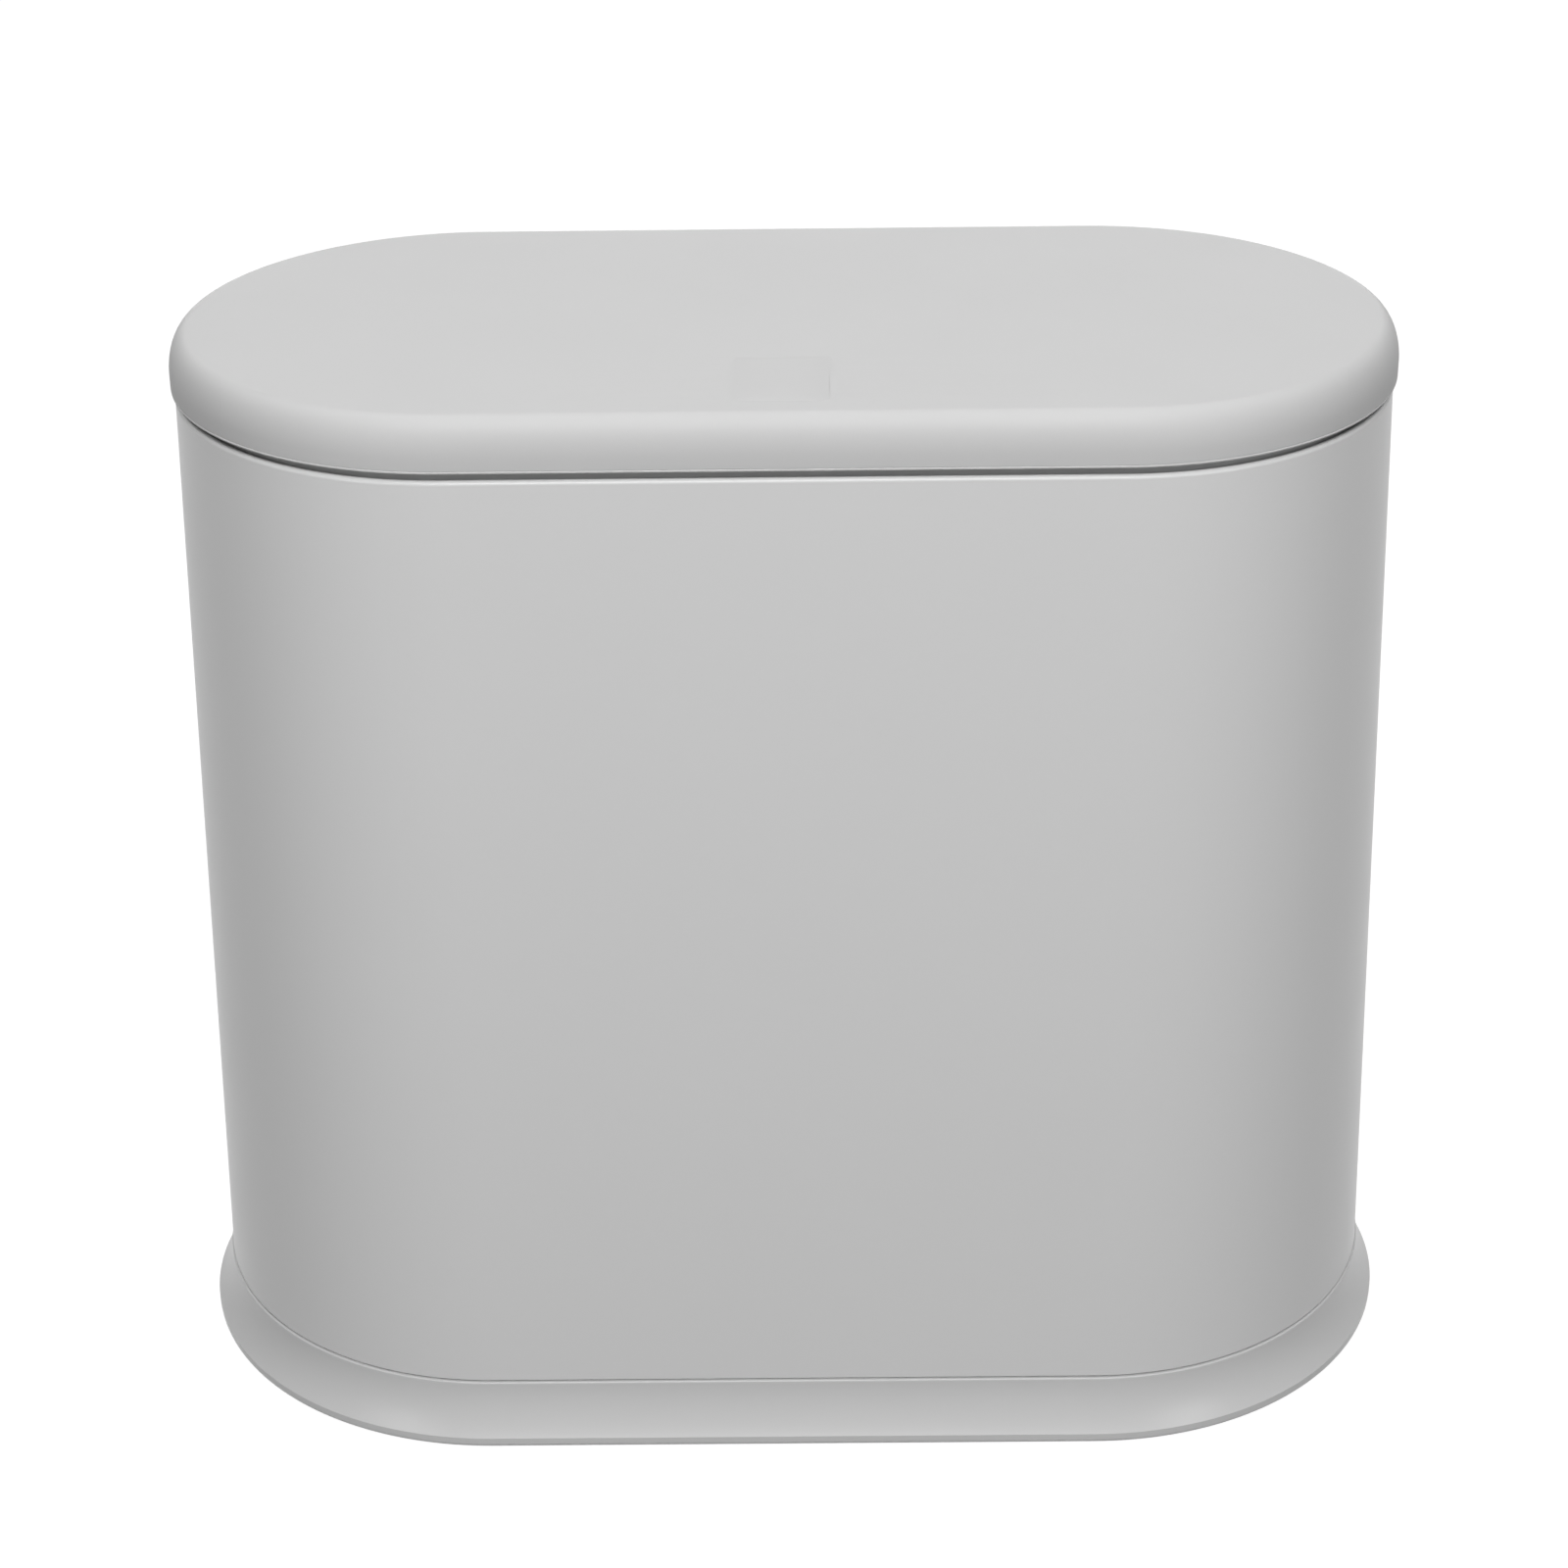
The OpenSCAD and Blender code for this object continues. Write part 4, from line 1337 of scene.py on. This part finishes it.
    def magnet(self) -> Work:
        """The disc magnet with its ground edge.

        Returns:
            The shape.
        """
        r, t, (low, high) = self.magnet_r, self.magnet_t, self.magnet_edges
        outline = [(0, 0), (r - low, 0), (r, low), (r, t - high), (r - high, t), (0, t)]
        return Work.turned("disc_magnet", outline, (0, PLAN.latch_y, self.magnet_z), 56)

    def spring(self) -> Work:
        """The latch spring, its end turns wound close.

        Returns:
            The shape.
        """
        low = self.floor_z + self.spring_wire + self.spring_gap
        high = self.plunger_z - self.spring_wire - self.spring_gap
        lie = self.spring_wire * self.closed_pitch
        rise = (high - low - 2 * lie) / (self.spring_turns - 2)
        path = []
        for i in range(self.spring_turns * self.spring_steps + 1):
            turn = i / self.spring_steps
            closed = min(turn, 1.0) + max(0.0, turn - (self.spring_turns - 1))
            z = low + lie * closed + rise * (turn - closed)
            a = TURN * turn
            path.append((self.spring_r * math.cos(a), PLAN.latch_y + self.spring_r * math.sin(a), z))
        return Work.wire("push_spring", path, self.spring_wire, 2)

    def follower(self) -> Work:
        """The follower: wire bent out into the clip and in to the cam lanes.

        Returns:
            The shape.
        """
        x, low, high, r = self.follower_x, self.pivot_z, self.tip_z, self.bend
        line = [(self.half_w + self.clip_t, low), *arc((x + r, low + r), (r, r), -90, -180, 5),
                *arc((x - r, high - r), (r, r), 0, 90, 5),
                (self.plunger_r - self.groove + self.tip_in, high)]
        path = [(across, PLAN.latch_y, up) for across, up in line]
        return Work.wire("follower_wire", path, self.wire_r, 3)

    def build(self) -> None:
        """Makes and dresses every piece of the latch."""
        made = self.finishes
        made.dress(self.housing(), Body.FRAME, "latch_housing", Finishes.LATCH)
        made.dress(self.clip(), Body.FRAME, "latch_clip", Finishes.LATCH)
        made.dress(self.plunger(), Body.LATCH, "latch_plunger", Finishes.LATCH)
        made.dress(self.magnet(), Body.LATCH, "latch_magnet", Finishes.NICKEL)
        made.dress(self.follower(), Body.FOLLOWER, "cam_follower", Finishes.SPRING)
        span = Span(Body.FRAME, Body.LATCH, (0, PLAN.latch_y, self.floor_z),
                    (0, PLAN.latch_y, self.plunger_z))
        made.dress(self.spring(), span, "latch_spring", Finishes.SPRING)
        screw = self.screw.build("latch screw")
        for i, side in enumerate((-1, 1), 1):
            place = Matrix.Translation((side * self.top_frame.screw_x, PLAN.latch_y, PLAN.frame_z))
            piece = screw.copy(f"short_screw_{i}", place @ Matrix.Rotation(math.pi, 4, "X"))
            made.dress(piece, Body.FRAME, f"latch_screw_{i}", Finishes.SCREW)
        screw.discard()


# ---- Hinges ----


@dataclass
class Hinges:
    """The two hinge pins and the torsion springs round them."""

    finishes: Finishes
    head_x: float = 25.9
    head_t: float = 0.8
    head_r: float = 1.7
    end_x: float = 45.975
    spring_x: float = 38.3
    wire_r: float = 0.35
    coil_r: float = 1.75
    turns: float = 4.5
    pitch: float = 0.95
    leg: float = 9.0
    drop: float = 0.65
    rise: float = 0.5
    head_crown: Point = (0.5, 0.6)  # how much of the head's radius and height is rounded
    head_edge: float = 0.1
    tip_edge: float = 0.3
    steps: int = 24

    def pin(self) -> Work:
        """The right pin: a domed head and a chamfered tip, turned and laid along the axis.

        Returns:
            The shape.
        """
        r, head, length = PLAN.pin_r, self.head_r, self.end_x - self.head_x
        crown_r, crown_h = head * self.head_crown[0], self.head_t * self.head_crown[1]
        dome = arc((head - crown_r, crown_h - self.head_t), (crown_r, crown_h), -90, 0, 6)
        outline = [(0, -self.head_t), *dome, (head, -self.head_edge), (head - self.head_edge, 0),
                   (r, 0), (r, length - self.tip_edge), (r - self.tip_edge, length), (0, length)]
        work = Work.turned("hinge pin", outline, steps=40)
        place = Matrix.Translation((self.head_x, PLAN.hinge_y, PLAN.hinge_z))
        return work.placed(place @ Matrix.Rotation(math.pi / 2, 4, "Y"))

    def spring(self) -> Work:
        """The right spring: a leg on the frame's seat, the coil, and a leg under the lid.

        Returns:
            The shape.
        """
        y, z, r = PLAN.hinge_y, PLAN.hinge_z, self.coil_r
        path = [(self.spring_x, y - self.leg, z - r - self.drop)]
        for i in range(int(self.turns * self.steps) + 1):
            a = TURN * i / self.steps - math.pi / 2
            path.append((self.spring_x + self.pitch * i / self.steps,
                         y + r * math.cos(a), z + r * math.sin(a)))
        path.append((path[-1][0], y - self.leg, z + r + self.rise))
        return Work.wire("lid spring", path, self.wire_r, 2)

    def build(self) -> None:
        """Makes the right pin and spring, and mirrors them to the left."""
        made = self.finishes
        pin, spring = self.pin(), self.spring()
        for side, matrix in (("left", MIRROR), ("right", Matrix.Identity(4))):
            made.dress(pin.copy(f"pin_{side}", matrix), Body.LATCH, f"hinge_pin_{side}",
                       Finishes.SCREW)
            y, z = PLAN.hinge_y, PLAN.hinge_z
            ends = [matrix @ Vector((x, y, z)) for x in
                    (self.spring_x, self.spring_x + self.turns * self.pitch)]
            span = Span(Body.LATCH, Body.LID, tuple(ends[0]), tuple(ends[1]))
            made.dress(spring.copy(f"lid_spring_{side}", matrix), span,
                       f"torsion_spring_{side}", Finishes.SPRING)
        pin.discard()
        spring.discard()


# ---- Lid ----


@dataclass
class Lid:
    """The lid: cover with a finger mark, liner with hinge ears, striker plate and screws."""

    finishes: Finishes
    radius: float = 48.0
    inner_r: float = 46.0
    skirt: float = 2.5
    shoulder_w: float = 3.4
    shoulder_h: float = 6.3
    inner_w: float = 2.2
    wall: float = 2.0
    crown: float = 0.8
    run_in: float = 1.1
    edge: float = 0.22
    fold_z: float = 0.42
    fold_in: float = 0.1
    mark: Place = (14.6, 19.0, 0.95)  # how wide, long and deep the finger mark is
    mark_corner: float = 3.4
    mark_draft: Point = (1.9, 1.02)  # how many times wider and longer its tool is at the top
    mark_lean: float = 0.75
    mark_edge: float = 0.05
    mark_high: float = 3.0
    mark_steps: int = 20
    mark_y: float = -41.2
    post_r: float = 3.0
    liner_r: float = 45.7
    liner_t: float = 1.4
    ear_x: Point = (26.0, 43.475)  # where the inner and the outer ear start
    ear_w: float = 3.4
    knuckle_r: float = 2.2
    head_room: float = 1.9
    slot_y: float = 29.4
    striker: Place = (9.0, 4.0, 1.0)  # half its width, half its depth, and its thickness
    striker_hole_x: float = 6.0
    striker_corner: float = 1.2
    striker_edge: float = 0.15
    sink_play: Point = (0.1, 0.05)  # room round a flush screw's head and shank
    crown_steps: int = 12
    ceiling_steps: int = 8
    post_bore: float = 2.6
    ear_sink: float = 0.4
    liner_low: float = 0.4
    liner_high: float = 0.2
    slot_corner: float = 0.8
    tip_bore: float = 2.9
    head_bore: float = 1.6
    boss: Point = (0.5, 2.2)  # how far it is sunk in, and how far it stands out
    boss_edge: float = 0.25
    hole_r: float = 1.2
    screw: Screw = field(default_factory=lambda: Screw(0.9, 4.0, 1.8, 1.1, pitch=0.7))
    flush_screw: Screw = field(
        default_factory=lambda: Screw(0.9, 3.6, 1.75, 1.0, flush=True, pitch=0.7))

    def crown_z(self, r: float, top: float) -> float:
        """The height of the slightly domed top at a distance from the middle line."""
        return top + self.crown * (1 - (r / (self.radius - self.shoulder_w)) ** 2)

    def cover(self) -> Work:
        """The cover: rounded shoulders, a domed top, a fine fold at its lower edge, four posts.

        Returns:
            The shape.
        """
        low, shoulder_z = PLAN.lid_z, PLAN.lid_z + self.skirt
        top = shoulder_z + self.shoulder_h
        dome_r, inside = self.radius - self.shoulder_w, top - self.wall
        fold = low + self.fold_z
        inner_dome = self.inner_r - self.inner_w
        crown = [(r, self.crown_z(r, top)) for r in
                 (dome_r * (1 - i / self.crown_steps) for i in range(1, self.crown_steps + 1))]
        ceiling = [(inner_dome * share, inside + self.crown * (1 - share ** 2)) for share in
                   (i / self.ceiling_steps for i in range(self.ceiling_steps + 1))]
        outline = [
            (self.inner_r, low),
            *arc((self.radius - self.edge, low + self.edge), (self.edge, self.edge), -90, 0, 6),
            (self.radius, fold - self.fold_in), (self.radius - self.fold_in, fold),
            (self.radius, fold + 2 * self.fold_in),
            *arc((dome_r, shoulder_z), (self.shoulder_w, self.shoulder_h), 0, 90 - self.run_in, 28),
            *crown, *ceiling,
            *arc((inner_dome, shoulder_z), (self.inner_w, inside - shoulder_z), 90, 0, 8)[1:]]
        work = Work.obround("lid_moulding", outline, PLAN.half, 96)
        for place in PLAN.posts():
            at = place + UP * PLAN.post_z
            post = Work.rod("post", self.post_r, at, inside - PLAN.post_z + PAST)
            work.combine(Join.ADD, post)
            bore = Work.rod("post bore", self.screw.shank_r, at - UP * PAST, PAST + self.post_bore,
                            sides=32)
            work.combine(Join.CUT, bore)
        return work.combine(Join.CUT, self.finger_mark(top))

    def finger_mark(self, top: float) -> Work:
        """The tool for the finger mark: a scoop with a crisp front edge that fades to the back.

        Args:
            top: The height of the lid's top at the end of its shoulder.

        Returns:
            The tool.
        """
        wide, long, deep = self.mark
        high = self.crown_z(self.mark_y, top) + self.mark_high
        profile = []
        for i in range(self.mark_steps + 1):
            share = i / self.mark_steps
            y = self.mark_y + long * share
            bowl = deep * math.sin(math.pi * share ** self.mark_lean)
            profile.append((y, self.crown_z(y, top) - bowl - self.mark_edge * (1 - 2 * share)))
        side = [*profile, (self.mark_y + long, high), (self.mark_y, high)]
        tool = Work.line("finger mark", [(-wide / 2, y, z) for y, z in side])
        tool.thicken((wide, 0, 0))
        tool.pick(Part.EDGE, lambda m: m.y < self.mark_y + NEAR and abs(m.x) > NEAR)
        bpy.ops.mesh.bevel(offset=self.mark_corner, segments=16, profile=0.5, affect="EDGES")
        tool.pick(Part.FACE, lambda m: m.z > high - NEAR)
        bpy.ops.transform.resize(value=(*self.mark_draft, 1),
                                 center_override=(0, self.mark_y + long, high))
        tool.clear()
        return tool

    def ear(self, x: float) -> list[Work]:
        """One ear of the liner: a round eye over a foot.

        Args:
            x: Where its left face lies.

        Returns:
            The eye and the foot.
        """
        y, z = PLAN.hinge_y, PLAN.hinge_z
        eye = Work.rod("eye", self.knuckle_r, (x, y, z), self.ear_w, Axis.X)
        foot = Work.block("ear foot", (x + OVERLAP, y - self.knuckle_r, PLAN.liner_z + self.ear_sink),
                          (x + self.ear_w - OVERLAP, y + self.knuckle_r, z))
        return [eye, foot]

    def liner(self) -> Work:
        """The liner: a plate with two ears a side, slots for the arms and striker bosses.

        Returns:
            The shape.
        """
        p, low, edge = PLAN, PLAN.liner_z, self.liner_low
        high = low + self.liner_t
        outline = [(0, low), *arc((self.liner_r - edge, low + edge), (edge, edge), -90, 0, 4),
                   (self.liner_r, high - self.liner_high), (self.liner_r - self.liner_high, high),
                   (0, high)]
        work = Work.obround("liner_moulding", outline, p.half, 72)
        inner, outer = self.ear_x
        for side in (1, -1):
            slot = Work.block("arm slot", (inner + self.ear_w, self.slot_y, low - PAST),
                              (outer, self.radius + PAST, high + PAST))
            slot.soften(self.slot_corner, 4, lambda m: abs(m.y - self.slot_y) < NEAR
                        and abs(m.z - (low + high) / 2) < NEAR)
            if side < 0:
                slot.placed(MIRROR)
            work.combine(Join.CUT, slot)
        for x in (inner, outer, -inner - self.ear_w, -outer - self.ear_w):
            work.combine(Join.ADD, *self.ear(x))
        bore = p.pin_r + p.bore_play
        for side in (1, -1):
            for start, length, r in ((inner - PAST, self.ear_w + 2 * PAST, bore),
                                     (outer - PAST, PAST + self.tip_bore, bore),
                                     (inner - self.head_bore, self.head_bore, self.head_room)):
                x = start if side > 0 else -start - length
                tool = Work.rod("pin bore", r, (x, p.hinge_y, p.hinge_z), length, Axis.X)
                work.combine(Join.CUT, tool)
            x = side * self.striker_hole_x
            sink, tall = self.boss
            boss = Work.rod("boss", self.post_r, (x, p.latch_y, high - sink), sink + tall)
            work.combine(Join.ADD, boss.soften(self.boss_edge, 3, lambda m: m.z > high + NEAR))
            tool = Work.rod("boss bore", self.flush_screw.shank_r, (x, p.latch_y, low - PAST),
                            PAST + self.post_bore, sides=32)
            work.combine(Join.CUT, tool)
        for place in p.posts():
            hole = Work.rod("screw hole", self.hole_r, place + UP * (low - PAST),
                            self.liner_t + 2 * PAST, sides=32)
            work.combine(Join.CUT, hole)
        return work

    def striker_plate(self) -> Work:
        """The striker: a punched steel plate with two countersunk holes.

        Returns:
            The shape.
        """
        wide, deep, thick = self.striker
        y, low = PLAN.latch_y, PLAN.liner_z - thick
        work = Work.block("striker", (-wide, y - deep, low), (wide, y + deep, low + thick))
        work.soften(self.striker_corner, 6, lambda m: abs(m.z - low - thick / 2) < NEAR)
        work.soften(self.striker_edge, 3, lambda m: m.z < low + NEAR)
        for side in (-1, 1):
            sink = Work.rod("countersink", self.flush_screw.head_r + self.sink_play[0],
                            (side * self.striker_hole_x, y, low - OVERLAP), thick + 2 * OVERLAP,
                            top=self.flush_screw.shank_r + self.sink_play[1])
            work.combine(Join.CUT, sink)
        return work

    def build(self) -> None:
        """Makes and dresses every piece of the lid."""
        made = self.finishes
        made.dress(self.cover(), Body.LID, "lid_cover", Finishes.LID)
        made.dress(self.liner(), Body.LID, "lid_liner", Finishes.FRAME)
        made.dress(self.striker_plate(), Body.LID, "striker_plate", Finishes.STRIKER)
        flush, screw = self.flush_screw.build("flush screw"), self.screw.build("liner screw")
        for i, side in enumerate((-1, 1), 1):
            place = (side * self.striker_hole_x, PLAN.latch_y, PLAN.liner_z - self.striker[2])
            made.dress(flush.copy(f"flush_screw_{i}", Matrix.Translation(place)), Body.LID,
                       f"striker_screw_{i}", Finishes.SCREW)
        for i, place in enumerate(PLAN.posts(), 1):
            spot = Matrix.Translation(place + UP * PLAN.liner_z)
            made.dress(screw.copy(f"lid_screw_{i}", spot), Body.LID, f"liner_screw_{i}",
                       Finishes.SCREW)
        flush.discard()
        screw.discard()


# ---- Studio ----


@dataclass(frozen=True)
class Lamp:
    """A soft box that points at the bin."""

    name: str
    place: Place
    size: Point
    power: float


@dataclass
class Studio:
    """Pale floor, soft boxes and the camera at the photograph's angle."""

    target: Place = (-0.00078, 0.0, 0.1013)
    distance: float = 0.5933
    azimuth: float = math.radians(0.4447)
    elevation: float = math.radians(26.7513)
    roll: float = math.radians(-0.7182)
    lens: float = 78.226
    sensor: float = 36.0
    nearest: float = 0.01
    floor_size: float = 8.0
    fill: float = 0.08
    floor_tone: float = 0.15
    floor_glow: float = 0.96
    lamps: tuple[Lamp, ...] = (
        Lamp("high front box", (0.0, -0.75, 0.85), (0.5, 0.3), 6.6),
        Lamp("top box", (0.0, 0.15, 0.88), (0.7, 0.3), 2.0),
        Lamp("rear box", (0.0, 1.4, 0.4), (1.4, 0.4), 3.5),
        Lamp("left front box", (-1.0, -1.2, 0.6), (0.5, 0.8), 3.4),
        Lamp("right front box", (1.0, -1.2, 0.6), (0.5, 0.8), 4.5),
        Lamp("left strip", (-0.38, -0.6, 0.95), (0.05, 0.2), 0.5),
        Lamp("right strip", (0.38, -0.6, 0.95), (0.05, 0.2), 0.6),
    )

    def camera(self) -> None:
        """Sets up the camera."""
        back = Vector((math.sin(self.azimuth) * math.cos(self.elevation),
                       -math.cos(self.azimuth) * math.cos(self.elevation),
                       math.sin(self.elevation)))
        right = Vector((math.cos(self.azimuth), math.sin(self.azimuth), 0))
        up = back.cross(right)
        across = right * math.cos(self.roll) + up * math.sin(self.roll)
        top = up * math.cos(self.roll) - right * math.sin(self.roll)
        data = bpy.data.cameras.new("photo camera")
        data.lens = self.lens
        data.sensor_width = self.sensor
        data.clip_start = self.nearest
        obj = bpy.data.objects.new("photo camera", data)
        bpy.context.scene.collection.objects.link(obj)
        obj.matrix_world = Matrix((
            (across.x, top.x, back.x, 0), (across.y, top.y, back.y, 0),
            (across.z, top.z, back.z, 0), (0, 0, 0, 1)))
        obj.location = Vector(self.target) + back * self.distance
        bpy.context.scene.camera = obj

    @staticmethod
    def seen(w: Wiring) -> bpy.types.NodeSocket:
        """1 for what the camera, a mirror or glass sees, and 0 for what lights the bin.

        Args:
            w: The wiring of the world or of the floor's material.

        Returns:
            The value.
        """
        rays = w.add("ShaderNodeLightPath", "rays").outputs
        near = w.maths("camera or mirror", "MAXIMUM", rays["Is Camera Ray"], rays["Is Glossy Ray"])
        return w.maths("or glass", "MAXIMUM", near, rays["Is Transmission Ray"])

    def world(self) -> None:
        """A white backdrop that lights the bin as a dim grey one."""
        world = bpy.data.worlds.new("backdrop")
        bpy.context.scene.world = world
        world.use_nodes = True
        world.node_tree.nodes.clear()
        w = Wiring(world.node_tree)
        strength = w.between("strength", self.seen(w), self.fill, 1.0)
        glow = w.add("ShaderNodeBackground", "glow", {"Color": WHITE, "Strength": strength})
        w.add("ShaderNodeOutputWorld", "result", {"Surface": glow.outputs[0]})

    def floor(self) -> None:
        """A pale floor that shows a soft contact shadow."""
        Work.clear()
        bpy.ops.mesh.primitive_plane_add(size=self.floor_size, location=(0, 0, 0))
        obj = bpy.context.object
        obj.name = "floor"
        material = bpy.data.materials.new("pale floor")
        material.use_nodes = True
        material.node_tree.nodes.clear()
        w = Wiring(material.node_tree)
        paper = w.add("ShaderNodeBsdfDiffuse", "paper", {"Color": (*grey(self.floor_tone), 1)})
        strength = w.between("strength", self.seen(w), 0.0, self.floor_glow)
        glow = w.add("ShaderNodeEmission", "glow", {"Color": WHITE, "Strength": strength})
        both = w.add("ShaderNodeAddShader", "both", {0: paper.outputs[0], 1: glow.outputs[0]})
        w.add("ShaderNodeOutputMaterial", "result", {"Surface": both.outputs[0]})
        obj.data.materials.append(material)

    def light(self, lamp: Lamp) -> None:
        """Hangs one soft box, pointed at the bin.

        Args:
            lamp: The box.
        """
        data = bpy.data.lights.new(lamp.name, "AREA")
        data.shape = "RECTANGLE"
        data.size, data.size_y = lamp.size
        data.energy = lamp.power
        obj = bpy.data.objects.new(lamp.name, data)
        bpy.context.scene.collection.objects.link(obj)
        obj.location = lamp.place
        aim = Vector(lamp.place) - Vector(self.target)
        obj.rotation_mode = "QUATERNION"
        obj.rotation_quaternion = aim.to_track_quat("Z", "Y")

    def build(self) -> None:
        """Sets up everything round the bin."""
        self.camera()
        self.world()
        self.floor()
        for lamp in self.lamps:
            self.light(lamp)
        bpy.context.scene.view_settings.view_transform = "Standard"


def main() -> None:
    """Builds the bin and its studio, piece by piece."""
    logging.basicConfig(level=logging.INFO, format="%(message)s")
    finishes = Finishes()
    top_frame = TopFrame(finishes)
    for assembly in (Container(finishes), top_frame, Latch(finishes, top_frame), Hinges(finishes),
                     Lid(finishes)):
        assembly.build()
        log.info("%s is done", type(assembly).__name__)
    Studio().build()
    Work.clear()


if __name__ == "__main__":
    main()
